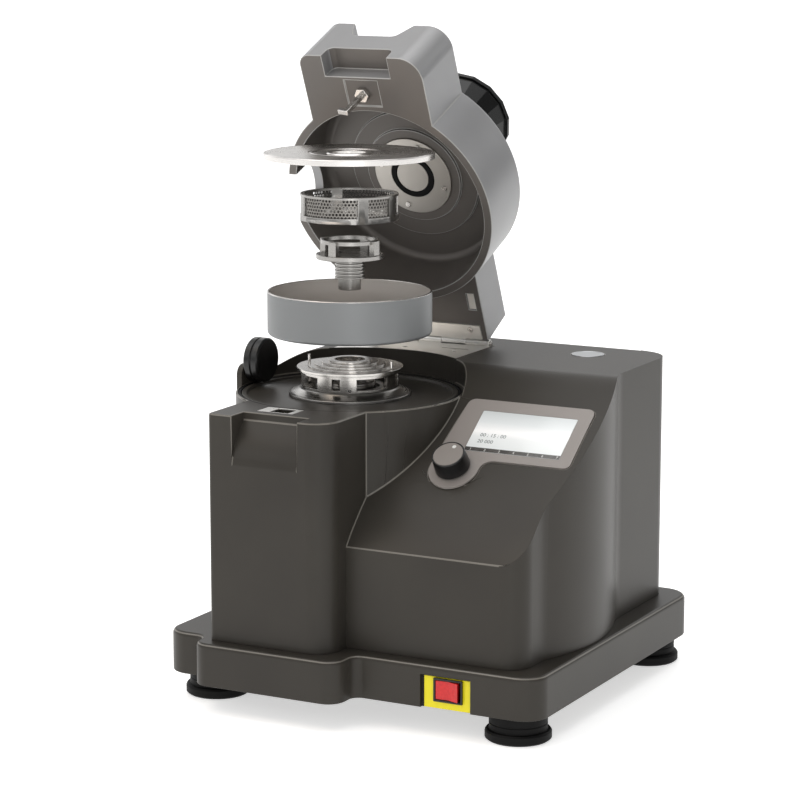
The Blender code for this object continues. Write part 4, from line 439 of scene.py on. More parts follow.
slope_foot = Vector((-134, -127, 0))
slope_pull = Vector((49.1 * cos(radians(54.4)), 49.1 * sin(radians(54.4)), 0))
slope = [(at.x, at.y) for at in interpolate_bezier(
    slope_foot, slope_foot + slope_pull, Vector((38, REAR_DECK, 0)), Vector((79.2, REAR_DECK, 0)), 49)]
swell = []
for step in range(41):
    y = -100 + 5 * step
    rise = sqrt(205 ** 2 - y ** 2) - 205 + 18.1
    swell.append((258.5 + (rise + sqrt(rise ** 2 + 9)) / 2, y))
plan = rounded([(0, -134), (258.5, -134, 24)] + swell + [
    (258.5, 229.5, 35), (-113, 229.5, 35), (-113, 0), (0, 0)])
block = slab([plan], WALL_LOW, 30)
steepness = (slope[1][1] - slope[0][1]) / (slope[1][0] - slope[0][0])
side = [(-138, -236), (-138, -127 - 4 * steepness)] + slope[1:] + [(240, REAR_DECK), (240, -236)]
block = boolean(block, slab([side], -118, 282, ALONG_X), "INTERSECT")
block = eased(block, 7, 5, lambda at: at.z > -150 and at.x > 5 and (at.y > -125 or at.z > -131))
well = rod(117.5, 0, 40, 200)
fall = [(-80 - 38 * share / 12, REAR_DECK - 22 * (share / 12) ** 2) for share in range(13)]
shoulder = slab([[(-80, 40)] + fall + [(-118, 40)]], -4, 240, ALONG_Y)
column = slab([keyhole(-172, 5, 25, left=-64.5)], WALL_LOW, 0)
column = eased(column, 1.5, 3, lambda at: near(at.z, 0))
shell = join(cut(block, shoulder, well), column)
fade = [(-148 - 24.2 * share * (2 - share), -8 - 46 * share) for share in (step / 16 for step in range(17))]
recess = slab([[(-190, 4), (-148, 4)] + fade + [(-190, -54)]], -37, 36, ALONG_X)
recess = eased(recess, 7, 5, lambda at: near(at.x, -37) and at.y > -171)
shell = cut(shell, recess, rod(113.8, -5.6, 4, 144), rod(34, -24, 0, 96),
            box((-28.3, -138.3, -1.8), (12.3, -115.2, 4)), box((-14.5, -136.5, -7), (5.7, -117.5, 4)),
            box((-14.5, -135.5, -46), (2.4, -121.3, 0)))
shell = cut(shell, slab([leaf_outline(72.3, 119.2)], 22.5, 30),
            rod(5, -73.8, 73.8, 48, HINGE_AXIS, ALONG_X),
            rod(17.5, 21.8, 30, 64, (182.6, 181.9, 0)), box((175.7, 213, -203.8), (224.3, 240, -175.2)))
seat = slab([overlay_outline(0.3)], -1.7, 8)
seat.transform(MACHINE.inverted() @ PANEL)
# The roundings of the outer edges take the paler paint, a painted highlight.
shell = eased(cut(shell, seat), 1.0, 2, outer_edge, 30, (housing, housing_painted_highlight), False)
# Faces on the deck's rim that tilt up toward the lamps take it too: a painted highlight.
for face in shell.polygons:
    at = face.center
    on_deck_edge = -1.5 < at.z < 0 and (at.to_2d().length < 117 or at.y < -100)
    if on_deck_edge and 0.2 < face.normal.z < 0.97:
        face.material_index = 1
piece("housing_moulding", shell, housing, "housing", ["main_housing"])


# Deck fittings: a rubber seal pressed into its groove, the chamber's floor with a raised
# rim inside it, and the latch's strike, a polished stainless sheet let in flush and held
# from below.
def brushed_metal(name, base, rough, lengths=(83.33, 1.111, 1.111), strength=0.08, spread=0.08):
    """Sheet metal with a straight grain, its lengths along X, Y and Z in millimetres."""
    finish, tree, shader = shader_of(name, base, rough, 1.0)
    where = mapped(tree, [1000 / length for length in lengths])
    grain = add(tree, "ShaderNodeTexNoise", [(where, "Vector")], Scale=1.0, Detail=5.0).outputs[0]
    grained(tree, shader, grain, rough, spread, strength)
    return finish


# Cold-rolled stainless steel, polished along its length: nearly white, and smooth enough to
# hold a soft image. Its polishing lines are drawn at 0.83 mm, many times their real width.
sheet = brushed_metal("polished_stainless", "f0eeea", 0.34, (66.67, 0.8333, 0.8333), 0.003, 0.03)
seal = lathe([(110.5, -5.3), (110.5, -0.3, 0.9), (113.5, -0.3, 0.9), (113.5, -5.3)], 200)
piece("deck_seal", seal, rubber, "housing", ["deck_seal_ring"])
floor_disc = lathe([(34.3, -5.3), (34.3, -3.3, 0.3), (103.8, -3.3, 0.8), (105, -0.6, 0.6),
                    (109.9, -0.6, 0.6), (109.9, -5.3)], 200)
piece("floor_disc", floor_disc, housing, "housing", ["chamber_floor"])
strike = cut(box((-28, -138, -1.5), (12, -115.5, 0)), box((-14.5, -136.5, -5), (5.7, -117.5, 4)))
piece("strike_sheet", eased(strike, 0.3, 2), sheet, "housing", ["lock_strike_plate"])


# Ear and plug: a painted ear that stands up from the left rim of the deck, and a black
# moulded plug pushed through it. A groove round the plug's middle grips the ear.
ear = slab([rounded([(-22, -34), (22, -34), (22, 20, 11), (-22, 20, 11)])], -121.5, -115, ALONG_X)
ear = join(ear, box((-119.5, -22, -34), (-113, 22, -3)))
ear = eased(cut(ear, rod(114.5, -40, 30, 200)), 1.0, 3)
piece("ear_moulding", ear, housing, "housing", ["port_ear"])
# Injection-moulded ABS dyed black: a fine spark grain gives it a low, even gloss.
black = moulded("black_abs", "0b0b0c", "101011", 0.32, 0.4545, 0.04)
plug = lathe([(0, -8.5), (16, -8.5, 0.8), (16.8, -7.6, 0.8), (21.5, -8.5, 1.2), (23, -7, 1.2),
              (23, -1.2, 0.4), (21.8, 0, 0.3), (23, 1.2, 0.4), (23, 7, 1.4), (21.5, 8.5, 1.4), (0, 8.5)],
             96, (-105, 0, 23.5), ALONG_X)
piece("port_plug", plug, black, "housing", ["side_port_plug"])


# Hub: a turned steel flange screwed to the chamber's floor, a cage of pillars milled from
# tube, and the stepped plate that the sieve ring sits on, with two pressed-in pins. The
# shaft's nose stands in the bearing carrier in the middle.
def turned_metal(name, base, rough, feed=1.111, place=MACHINE, strength=0.10, contrast=0.05, metallic=1.0):
    """Metal finished on a lathe: rings about the piece's own axis, a feed of millimetres apart,
    under slow smears about 33 mm across."""
    finish, tree, shader = shader_of(name, base, rough, metallic)
    where = mapped(tree, place=place)
    split = add(tree, "ShaderNodeSeparateXYZ", [(where, "Vector")])
    across = add(tree, "ShaderNodeCombineXYZ", [(split.outputs[0], "X"), (split.outputs[1], "Y")])
    radius = add(tree, "ShaderNodeVectorMath", [(across.outputs[0], 0)], operation="LENGTH")
    line = add(tree, "ShaderNodeCombineXYZ", [(radius.outputs["Value"], "X"), (split.outputs[2], "Y")])
    ring = add(tree, "ShaderNodeTexNoise", [(line.outputs[0], "Vector")], Scale=1000 / feed,
               Detail=4.0, Roughness=0.7).outputs[0]
    slow = add(tree, "ShaderNodeTexNoise", [(where, "Vector")], Scale=1000 / 33.33, Detail=3.0)
    gloss = grained(tree, shader, ring, rough, contrast, strength)
    smear = add(tree, "ShaderNodeMath", [(slow.outputs[0], 0), (gloss, 2)], operation="MULTIPLY_ADD")
    smear.inputs[1].default_value = 0.08
    tree.links.new(smear.outputs[0], shader.inputs["Roughness"])
    return finish


# Stainless steel from the lathe: rings 1.1 mm apart, coarser than the real feed of 0.1 mm,
# smear its highlights round the axis. The bright one is the same steel, finely polished.
steel = turned_metal("turned_stainless", "a5a3a0", 0.24)
bright = turned_metal("polished_steel", "cfccc8", 0.15)
flange = lathe([(30.3, -3), (30.3, 5.5, 0.4), (49.5, 5.5, 0.4), (50.7, 4.3, 1), (59.9, 0.6, 1),
                (62.3, -0.6, 0.8), (62.3, -3)], 160)
piece("hub_flange", flange, steel, "housing", ["hub_base_flange"])
cage = lathe([(43, 5.8), (43, 21.7, 0.3), (49.5, 21.7, 0.3), (49.5, 5.8)], 160)
for half_width, angle in ((17.3, -33), (17.3, 57), (4.2, 12), (4.2, -78)):
    turn = Matrix.Rotation(radians(angle), 4, "Z")
    cage = cut(cage, box((-99, -half_width, 8), (99, half_width, 19.5), turn))
for angle in range(-62, 298, 90):
    turn = Matrix.Rotation(radians(angle), 4, "Z")
    cage = cut(cage, box((40, -1.6, 6.6), (60, 1.6, 9.4), turn))
piece("hub_pillars", eased(cage, 0.5, 2), bright, "housing", ["hub_cage"])
profile = [(15.5, 22), (52.8, 22, 0.2), (52.8, 23.2, 0.2), (54, 23.2, 0.4), (54, 26, 0.5)]
for index, radius in enumerate((43.5, 36.5, 29, 22)):
    profile += [(radius, 26 + 1.7 * index, 0.3), (radius, 27.7 + 1.7 * index, 0.5)]
piece("hub_plate", lathe(profile + [(15.5, 32.8, 0.4)], 160), bright, "housing", ["hub_top_plate"])
PIN_PLACE = 47.4
for side_name, x in (("left", -PIN_PLACE), ("right", PIN_PLACE)):
    locating_pin = rod(1.5, 26.3, 34, 24, (x, 0, 0), soft=0.5)
    piece("locating_pin_" + side_name, locating_pin, bright, "housing", ["sieve_pin_" + side_name])
carrier = lathe([(21.3, -32), (21.3, -3.7), (12.4, -3.7), (12.4, 11.5, 0.5), (17, 11.5, 0.5),
                 (17.6, 10.4, 0.4), (20.5, 10.4, 0.4), (21, 11.5, 0.4), (24.5, 11.5, 1.5), (26, 10, 1.5),
                 (26, 0, 0.3), (30, 0, 0.3), (30, -32)], 96)
piece("carrier_ring", carrier, bright, "housing", ["bearing_carrier"])
nose = lathe([(0, -70), (10, -70), (10, -1, 0.4), (7.7, -1, 0.4), (7.7, 24, 1.2), (2.2, 24, 0.2),
              (2.2, 20), (0, 20)], 64)
piece("shaft_nose", nose, bright, "shaft", ["drive_shaft"])


# Collecting pan: a ring-shaped tray turned from cast aluminium, which drops over the hub and
# catches what the sieve lets through. It is loose and lifts out for emptying.
PAN = MACHINE @ Matrix.Translation((0, 0, 51))
# Turned aluminium with a satin oxide skin: half dull, so the wall shades softly. The inside
# gets a paler copy of the metal: painted light. Rings of 0.5 mm stand for a feed too fine to show.
pan_metal = turned_metal("satin_aluminium", "7f8182", 0.40, 0.5, MACHINE, 0.06, 0.03, 0.55)
pan_painted_light = turned_metal("aluminium_painted_light", "cbc6c1", 0.50, 0.5, MACHINE, 0.06, 0.03, 0.25)
pan = lathe([(55.5, 8), (83.4, 8, 4), (83.4, 52.3, 0.9), (81.4, 52.3, 0.9), (81.4, 10, 2.6), (57.5, 10, 2),
             (57.5, 28.3, 0.8), (50.3, 28.3, 0.4), (50.3, 26.3, 0.3), (55.5, 26.3, 0.8)], 200, soft=5)
ring = piece("pan_ring", pan, (pan_metal, bright, pan_painted_light), "pan", ["collecting_pan"], PAN)
back = PAN.inverted()
for face in ring.data.polygons:
    at = back @ face.center
    # The rim's top faces take the pale polished steel: a painted highlight.
    if at.z > 51.5:
        face.material_index = 1
    # Faces inside the wall take the paler aluminium: painted light.
    elif sqrt(at.x ** 2 + at.y ** 2) < 82 and at.z > 9:
        face.material_index = 2


# Rotor: one piece of stainless steel, turned and milled. A ribbed neck for the fingers
# stands on the sleeve that slips over the shaft, and a flange carries four blades that a
# thin ring ties together at the top.
ROTOR = MACHINE @ Matrix.Translation((0, 0, 102.6))
ribs = []
for index in range(5):
    low = 13 + index * 3.44
    ribs += [(15, low, 0.3), (15, low + 1.72, 0.3), (13.8, low + 2.06, 0.3), (13.8, low + 3.1, 0.3)]
profile = [(0, 24.3), (0, 37.9), (31.5, 37.9, 0.2), (34, 37.9, 0.6), (34, 33.2, 0.6), (13.8, 33.2, 1)]
rotor = lathe(profile + ribs[::-1] + [(11.5, 13, 0.4), (11.5, 1.5, 0.8), (8.1, 1.5, 0.3), (8.1, 24.3)], 120)
for index in range(4):
    blade = slab([[(26.5, -4.5), (32.2, -4.5), (32.6, 4.5), (26.5, 4.5)]], 37.7, 52.1)
    blade.transform(Matrix.Rotation(radians(-4) + pi * index / 2, 4, "Z"))
    rotor = join(rotor, blade)
rotor = join(rotor, lathe([(26, 48.8), (26, 52.8, 0.4), (29, 52.8, 0.4), (29, 48.8)], 120))
piece("rotor_body", eased(rotor, 0.35, 2, lambda at: at.z > 36), steel, "rotor", ["rotor"], ROTOR)


# Sieve ring: two rails and six posts turned and milled from one steel ring, and a perforated
# sheet rolled round and set inside them. Two holes in the lower rail go over the hub's pins.
SIEVE = MACHINE @ Matrix.Translation((0, 0, 149.1))
sieve = lathe([(45.2, 26.3), (45.2, 52.8, 0.3), (49.5, 52.8, 0.4), (49.5, 26.3)], 180)
windows = lathe([(22, 31.9), (22, 50.6), (99, 50.6), (99, 31.9)], 180)
for angle in (0, 45, 135, 180, 225, 315):
    windows = cut(windows, box((11, -5.5, 20), (148, 5.5, 60), Matrix.Rotation(radians(angle), 4, "Z")))
sieve = cut(sieve, windows, lathe([(46.4, 30.4), (46.4, 50.9), (47.8, 50.9), (47.8, 30.4)], 180),
            rod(1.9, 20, 34.8, 32, (-PIN_PLACE, 0, 0)), rod(1.9, 20, 34.8, 32, (PIN_PLACE, 0, 0)))
piece("sieve_ring", eased(sieve, 0.3, 2), steel, "sieve", ["sieve_frame"], SIEVE)
# Punched stainless sheet: grey and soft, with the lines of the rolling mill. Its inside,
# which little light reaches through the holes, is painted dark as shade.
sieve_sheet = turned_metal("punched_sheet", "8a8783", 0.34, 1.4286, MACHINE, 0.05)
sieve_painted_shade = turned_metal("sheet_inside_painted_shade", "2e2c2a", 0.45, 1.4286, MACHINE, 0.05, metallic=0.3)


def perforated(radius, low, high, pitch, hole, thickness, clear):
    """Sheet with round holes in staggered rows, bent into a ring by Geometry Nodes, and left out
    behind the two locating pins up to the height named clear."""
    columns = int(2 * pi * radius / pitch)
    rows = int((high - low) / (pitch * 0.866))
    step = (high - low) / rows
    wide = 2 * pi * radius / columns
    around = ((-1, -1), (0, -1), (1, -1), (1, 0), (1, 1), (0, 1), (-1, 1), (-1, 0))
    corners = [(x * wide / 2, z * step / 2) for x, z in around]
    work = bmesh.new()
    outer = [work.verts.new((0, x, z)) for x, z in corners]
    inner = [work.verts.new((0, hole * cos(atan2(z, x)), hole * sin(atan2(z, x)))) for x, z in corners]
    for index in range(8):
        after = (index + 1) % 8
        work.faces.new((outer[index], outer[after], inner[after], inner[index]))
    cell = bpy.data.meshes.new("sheet_cell")
    work.to_mesh(cell)
    work.free()
    cell_holder = in_scene("sheet_cell", cell)
    places = bmesh.new()
    for row in range(rows):
        for column in range(columns):
            turn = 2 * pi * (column + row % 2 / 2) / columns
            if abs(sin(turn)) > 0.09 or step * (row + 0.5) > clear:
                places.verts.new((radius * cos(turn), radius * sin(turn), low + step * (row + 0.5)))
    points = bpy.data.meshes.new("sheet_points")
    places.to_mesh(points)
    places.free()
    group = bpy.data.node_groups.new("bent_sheet", "GeometryNodeTree")
    for title, way, kind in (("Geometry", "INPUT", "Geometry"), ("Cell", "INPUT", "Object"),
                             ("Geometry", "OUTPUT", "Geometry")):
        group.interface.new_socket(title, in_out=way, socket_type="NodeSocket" + kind)
    entry = add(group, "NodeGroupInput")
    where = add(group, "GeometryNodeInputPosition")
    flat = add(group, "ShaderNodeVectorMath", [(where.outputs[0], 0)], operation="MULTIPLY")
    flat.inputs[1].default_value = (1, 1, 0)
    face = add(group, "FunctionNodeAlignRotationToVector", [(flat.outputs[0], "Vector")],
               axis="X", pivot_axis="Z")
    info = add(group, "GeometryNodeObjectInfo", [(entry.outputs["Cell"], "Object")])
    spread = add(group, "GeometryNodeInstanceOnPoints", [
        (entry.outputs["Geometry"], "Points"), (info.outputs["Geometry"], "Instance"),
        (face.outputs[0], "Rotation")])
    real = add(group, "GeometryNodeRealizeInstances", [(spread.outputs[0], "Geometry")])
    coat = add(group, "GeometryNodeSetMaterial", [(real.outputs[0], "Geometry")], Material=sieve_sheet)
    add(group, "NodeGroupOutput", [(coat.outputs[0], 0)])
    guide = in_scene("guide", points)
    modifier = guide.modifiers.new("sheet", "NODES")
    modifier.node_group = group
    socket = next(item for item in group.interface.items_tree if item.name == "Cell")
    modifier[socket.identifier] = cell_holder
    graph = bpy.context.evaluated_depsgraph_get()
    made = bpy.data.meshes.new_from_object(guide.evaluated_get(graph), depsgraph=graph)
    for holder in (guide, cell_holder):
        bpy.data.objects.remove(holder, do_unlink=True)
    work = bmesh.new()
    work.from_mesh(made)
    bmesh.ops.remove_doubles(work, verts=work.verts, dist=0.12)
    work.to_mesh(made)
    work.free()
    # The inner faces take the dark copy: painted shade.
    made.materials.append(sieve_painted_shade)
    return evaluated(made, ("SOLIDIFY", {"thickness": thickness, "offset": 0, "material_offset": 1}))


# The real holes are finer than a millimetre. These are 2.7 mm at a pitch of 3.6 mm, as
# coarse as they need to be to show.
screen = perforated(47.1, 30.8, 50.6, 3.6, 1.35, 0.5, 5)
piece("perforated_sheet", screen, sieve_sheet, "sieve", ["sieve_screen"], SIEVE)


# Cover of the pan: a stainless disc faced on the lathe, with a dished ring round its mouth
# and a rim that reaches over the pan's wall. It lies loose and keeps the powder in.
COVER = MACHINE @ Matrix.Translation((0, 0, 186.4))
# Face-turned stainless steel: pale, with rings of 0.7 mm in place of a real feed of 0.1 mm,
# which draw the highlights into two opposite fans.
cover_steel = turned_metal("face_turned_stainless", "e6e3e0", 0.24, 0.7143, COVER)
cover = lathe([(17, 53.1), (17, 56.4, 0.5), (22, 56.4, 0.4), (23.2, 55.2, 0.3), (36.8, 55.2, 0.3),
               (38, 56.4, 0.4), (39.4, 56.4, 0.2), (40, 55.9, 0.2), (41, 55.9, 0.2), (41.6, 56.4, 0.2),
               (82.2, 56.4, 0.4), (83, 55.7, 0.3), (84, 55.7, 0.3), (84.6, 56.4, 0.4), (86, 56.4, 0.8),
               (86, 50.5, 0.5), (83.9, 50.5, 0.4), (83.9, 53.1, 0.4)], 200)
piece("cover_disc", cover, cover_steel, "cover", ["pan_cover"], COVER)


# Lid: a deep hood moulded in one piece, with a nose over the column, a tail over the hinge
# and a stepped round cavity that closes on the chamber. The upper hinge leaf is screwed
# under its tail. It is lacquered silver outside and left duller inside.
LID_TOP = 77.5
HINGE = Matrix.Translation(HINGE_AXIS)
LID = MACHINE @ HINGE @ Matrix.Rotation(radians(-66.5), 4, "X") @ HINGE.inverted()
# Silver lacquer with metal flakes over the moulding: a soft sheen that deepens away from the
# light. Inside and under the hood the same lacquer is made duller and painted darker as shade,
# and the roundings take a paler copy of it, a painted highlight.
lid_skin = moulded("silver_lacquer", "8f8f90", "989899", 0.38, metallic=0.45)
lid_painted_shade = moulded("lacquer_painted_shade", "5f5b57", "67625e", 0.42, metallic=0.3)
lid_painted_highlight = moulded("lacquer_painted_highlight", "a2a19f", "aaa9a7", 0.34, metallic=0.3)
lid = slab([keyhole(-168.2, 12, 25, 176.8)], 0.3, LID_TOP)
lid = eased(lid, 13, 8, lambda at: near(at.z, LID_TOP))
turn = atan2(sqrt(CYLINDER ** 2 - NOSE_HALF ** 2), NOSE_HALF)
under = arc(CYLINDER, turn, pi - turn, 60)
relief = slab([under + [(-73, under[-1][1]), (-73, 181), (73, 181), (73, under[0][1])]], -4, 25.5)
chamfer = slab([[(173, LID_TOP), (176.8, 32), (181, 32), (181, 82), (173, 82)]], -73, 73, ALONG_X)
cavity = [(0, -4), (107, -4), (107, 0)] + arc(8, 0, pi / 2, 10, (97.5, 58)) + [
    (72.6, 66), (72.6, 63), (53.7, 63), (53.7, 60), (0, 60)]
notch = [(-27.5, -4)] + arc(27.5, pi, 0, 30, (0, 23.5)) + [(27.5, -4)]
pocket = rounded([(-42, -4), (32, -4), (32, 18.6, 7), (-42, 18.6, 7)])
grip = rounded([(-43, 81.5), (-29, 47, 8), (19, 47, 8), (33, 81.5)])
lid = cut(lid, relief, chamfer, lathe(cavity, 200), rod(20.5, 54, 82, 96),
          slab([notch], -120, -53, ALONG_X),
          slab([pocket], -173, -145, ALONG_Y), slab([grip], -173, -145, ALONG_Y),
          box((-21.8, -141.5, -4), (16.2, -112.5, 1.8)), box((-62.3, 158.7, 21), (62.3, 181, 27.5)),
          rod(5, -77, 77, 48, HINGE_AXIS, ALONG_X), box((53.2, 119.7, 21), (62.1, 139.3, 28.8)))
# The roundings take the paler lacquer: a painted highlight.
lid = eased(lid, 0.8, 2, None, 38, (lid_skin, lid_painted_shade, lid_painted_highlight), False)
hood = piece("lid_cover", lid, (lid_skin, lid_painted_shade), "lid", ["lid_shell"], LID)
up = LID.to_3x3() @ Vector((0, 0, 1))
back = LID.inverted()
# Faces in the cavity and faces turned down under the hood take the darker lacquer: painted shade.
for face in hood.data.polygons:
    at = back @ face.center
    flat = (face.normal.normalized()).dot(up.normalized())
    inside = sqrt(at.x ** 2 + at.y ** 2) < 107.6 and at.z < 67
    if face.material_index == 0 and (inside or (flat < -0.6 and at.z < 30)):
        face.material_index = 1


# Inner plate of the lid: a spun steel plate with the round inlet disc in its mouth and a
# rubber ring between the two. Four socket screws hold it up against the hood.
# Spun sheet steel: lines of 0.67 mm round its middle, coarser than the real ones to show.
lid_steel = turned_metal("spun_steel", "b9b5af", 0.34, 0.6667, LID)
inner = lathe([(18.5, 59), (18.5, 59.7), (44, 59.7), (44, 58, 0.6), (24.8, 58, 0.3), (24.8, 59)], 144)
piece("inner_plate", inner, lid_steel, "lid", ["lid_inner_plate"], LID)
ring = lathe([(18.5, 57.1, 0.8), (18.5, 58.7), (24.5, 58.7), (24.5, 57.1, 0.8)], 144)
piece("inlet_seal", ring, rubber, "lid", ["lid_feed_seal"], LID)
disc = lathe([(0, 57.6), (18.2, 57.6, 0.5), (18.2, 61.7), (0, 61.7)], 144)
piece("inlet_disc", disc, lid_steel, "lid", ["feed_inlet_disc"], LID)
for index in range(1, 5):
    turn = radians(90 * index - 70)
    head = lathe([(0, 56.8), (3.2, 56.8, 0.5), (3.2, 57.7), (0, 57.7)], 32)
    head = cut(head, slab([arc(1.4, 0, 2 * pi, 6)[:-1]], 55, 57.3))
    head.transform(Matrix.Translation((36.5 * cos(turn), 36.5 * sin(turn), 0)))
    piece("plate_screw_head_%d" % index, head, bright, "lid", ["plate_screw_%d" % index], LID)


# Latch and sensor plate: a hexagonal steel boss under the lid's nose holds a flat hooked
# bolt that goes down through the strike. A small polished plate under the tail tells the
# sensor in the deck that the lid is shut.
boss = eased(slab([arc(7 / cos(pi / 6), 0, 2 * pi, 6, (-2.8, -126))[:-1]], -4, 1.5), 0.5, 3)
piece("latch_hexagon", boss, bright, "lid", ["latch_boss"], LID)
hook = slab([[(-5.8, -4.3), (-5.8, -34), (-12.3, -34), (-12.3, -38.7), (-2.8, -41), (0.2, -41),
              (0.2, -4.3)]], -128.5, -123.5, ALONG_Y)
piece("latch_hook", eased(hook, 0.9, 3), bright, "lid", ["latch_bolt"], LID)
plate = box((53.5, 120, 27), (61.8, 139, 28.5))
piece("sensor_plate", eased(plate, 0.3, 2), sheet, "lid", ["lid_sensor_plate"], LID)


# Hinge: two leaves of polished stainless sheet with knuckles rolled from their edges, which
# interleave on one steel pin. Three socket screws hold each leaf, the lower one on the deck
# and the upper one under the lid's tail.
def knuckle(index):
    """One rolled knuckle, a fifth of the hinge less its play."""
    low = -70 + index * 28 + 0.25
    rolled = [(2.4, low), (2.4, low + 27.5), (4.2, low + 27.5, 0.3), (4.2, low, 0.3)]
    return lathe(rolled, 48, HINGE_AXIS, ALONG_X)


def leaf_gap(index):
    """The room that the other leaf's knuckle takes."""
    return box((-70.25 + index * 28, 176.2, 18), (-41.75 + index * 28, 185.8, 31))


def leaf_with_knuckles(leaf, first, places, y):
    """A leaf with every second knuckle from the first, the pin's bore and its screw holes."""
    for index in range(5):
        if index % 2 != first:
            leaf = cut(leaf, leaf_gap(index))
    for index in range(first, 5, 2):
        leaf = join(leaf, knuckle(index))
    leaf = cut(leaf, rod(2.4, -76, 76, 48, HINGE_AXIS, ALONG_X))
    return cut(leaf, *[rod(3.3, 15, 35, 32, (x, y, 0)) for x in places])


lower = slab([leaf_outline(72, 119.5)], 22.8, REAR_DECK)
lower = leaf_with_knuckles(lower, 0, (-55, -8, 50), 135)
lower = cut(lower, box((28, 147.25, 15), (60, 150.75, 30)))
piece("lower_leaf", eased(lower, 0.25, 2), sheet, "housing", ["hinge_lower_leaf"])
upper = leaf_with_knuckles(box((-62, 159, 25.5), (62, 181, 27.2)), 1, (-50, 0, 50), 164.5)
piece("upper_leaf", eased(upper, 0.25, 2), sheet, "lid", ["hinge_upper_leaf"], LID)
pin = lathe([(0, -71.8), (0, 71.8), (2.3, 71.8, 0.6), (2.3, 70.3), (2, 70.3), (2, -70.3), (2.3, -70.3),
             (2.3, -71.8, 0.6)], 32, HINGE_AXIS, ALONG_X)
piece("hinge_rod", pin, bright, "housing", ["hinge_pin"])
for name, places, y, low, body, place in (("lower", (-55, -8, 50), 135, 22.8, "housing", MACHINE),
                                          ("upper", (-50, 0, 50), 164.5, 25.5, "lid", LID)):
    for index, x in enumerate(places, 1):
        head = rod(3, low, low + 1.4, 40, soft=0.3)
        top = low + 1.4 if name == "lower" else low
        head = cut(head, slab([arc(1.5, 0, 2 * pi, 6)[:-1]], top - 0.7, top + 0.7))
        head.transform(Matrix.Translation((x, y, 0)))
        piece("%s_leaf_screw_%d" % (name, index), head, bright, body,
              ["hinge_%s_screw_%d" % (name, index)], place)


# Feed funnel: a faceted black cone moulded in one piece with its tube and a collar, pushed
# into the lid's inlet and held there by its own weight.
# Glossy polystyrene out of a polished mould: a hard black shine, one streak to a facet.
funnel_black = moulded("gloss_polystyrene", "030404", "050606", 0.2, 0.385, 0.02, Specular_IOR_Level=0.4)
funnel = lathe([(17, 62), (17, 112, 2), (46.5, 192, 0.6), (52.5, 192, 0.8), (52.5, 187, 0.8),
                (49, 187, 0.4), (20, 112, 3), (20, 80.8, 1), (27, 80.8, 0.8), (27, 77.8, 0.5),
                (20, 77.8), (20, 62)], 16, soft=4)
funnel = eased(funnel, 0.5, 2, None, 20)
piece("funnel_cone", funnel, funnel_black, "funnel", ["feed_funnel"], LID, 18)


# Control panel: a printed foil glued into a shallow seat on the slope, the display under its
# clear window, and a round knob with a satin face, pushed on the spindle of its encoder.
KNOB = PANEL @ Matrix.Translation((147, -55, 0))


def printed(words, size, place):
    """Plain figures as a flat mesh, pressed a tenth of a millimetre thick."""
    curve = bpy.data.curves.new("figures", "FONT")
    curve.body = words
    curve.size = size
    curve.extrude = 0.05
    mesh = evaluated(curve)
    mesh.transform(Matrix.Translation(place))
    return mesh


def speckled(name, base, rough, size, stops, place=None):
    """Ink or dyed gloss plastic: one colour, uneven in specks of a size in millimetres."""
    finish, tree, shader = shader_of(name, base, rough)
    specks = add(tree, "ShaderNodeTexNoise", [(mapped(tree, place=place), "Vector")], Scale=1000 / size)
    tone = add(tree, "ShaderNodeValToRGB", [(specks.outputs[0], "Fac")], stops)
    tree.links.new(tone.outputs[0], shader.inputs["Base Color"])
    return finish


# Polyester foil, printed grey on its back: flat and satin, with an almost invisible grain.
foil = moulded("polyester_foil", "8a8480", "908a86", 0.42, 0.25, 0.03)
window = rounded([(148.5, 24.3, 1.3), (148.5, -30.9, 1.3), (251.8, -30.9, 1.3), (251.8, 24.3, 1.3)], 4)
overlay = slab([overlay_outline()], -1.4, 0.8)
overlay = cut(overlay, slab([window], -0.7, 4), rod(3.5, -4, 4, 32, (147, -55, 0)))
piece("overlay", eased(overlay, 0.4, 3), foil, "housing", ["panel_overlay"], PANEL)
# Lit display under clear glass: white, with a painted highlight band across its middle that
# glows with it, greyer at the rims, and faint wiped streaks 167 mm long and 4 mm wide in its gloss.
display, tree, shader = shader_of("display_glass", "e6e9ea", 0.12)
level = add(tree, "ShaderNodeSeparateXYZ", [(mapped(tree, place=PANEL), "Vector")]).outputs[1]
share = add(tree, "ShaderNodeMapRange", [(level, "Value")], From_Min=-0.0256, From_Max=0.024).outputs[0]
lines = add(tree, "ShaderNodeTexNoise", [(mapped(tree, (1, 40, 1), PANEL), "Vector")], Scale=6.0).outputs[0]
mist = add(tree, "ShaderNodeMapRange", [(lines, "Value")], To_Min=0.08, To_Max=0.17)
tree.links.new(mist.outputs[0], shader.inputs["Roughness"])
# Painted highlight: a pale band across the middle, fed to both colour and glow.
display_painted_highlight = add(tree, "ShaderNodeValToRGB", [(share, "Fac")], [
    (0, "dfe3e3"), (0.30, "e9ecec"), (0.45, "ffffff"), (0.7, "dfe3e4"), (1, "c9cecf")]).outputs[0]
tree.links.new(display_painted_highlight, shader.inputs["Base Color"])
tree.links.new(display_painted_highlight, shader.inputs["Emission Color"])
shader.inputs["Emission Strength"].default_value = 0.08
glass = rounded([(148.8, 24, 1), (148.8, -30.6, 1), (251.5, -30.6, 1), (251.5, 24, 1)], 4)
glass = eased(slab([glass], -0.4, 0.8), 0.2, 2)
piece("display", glass, display, "housing", ["display_screen"], PANEL)
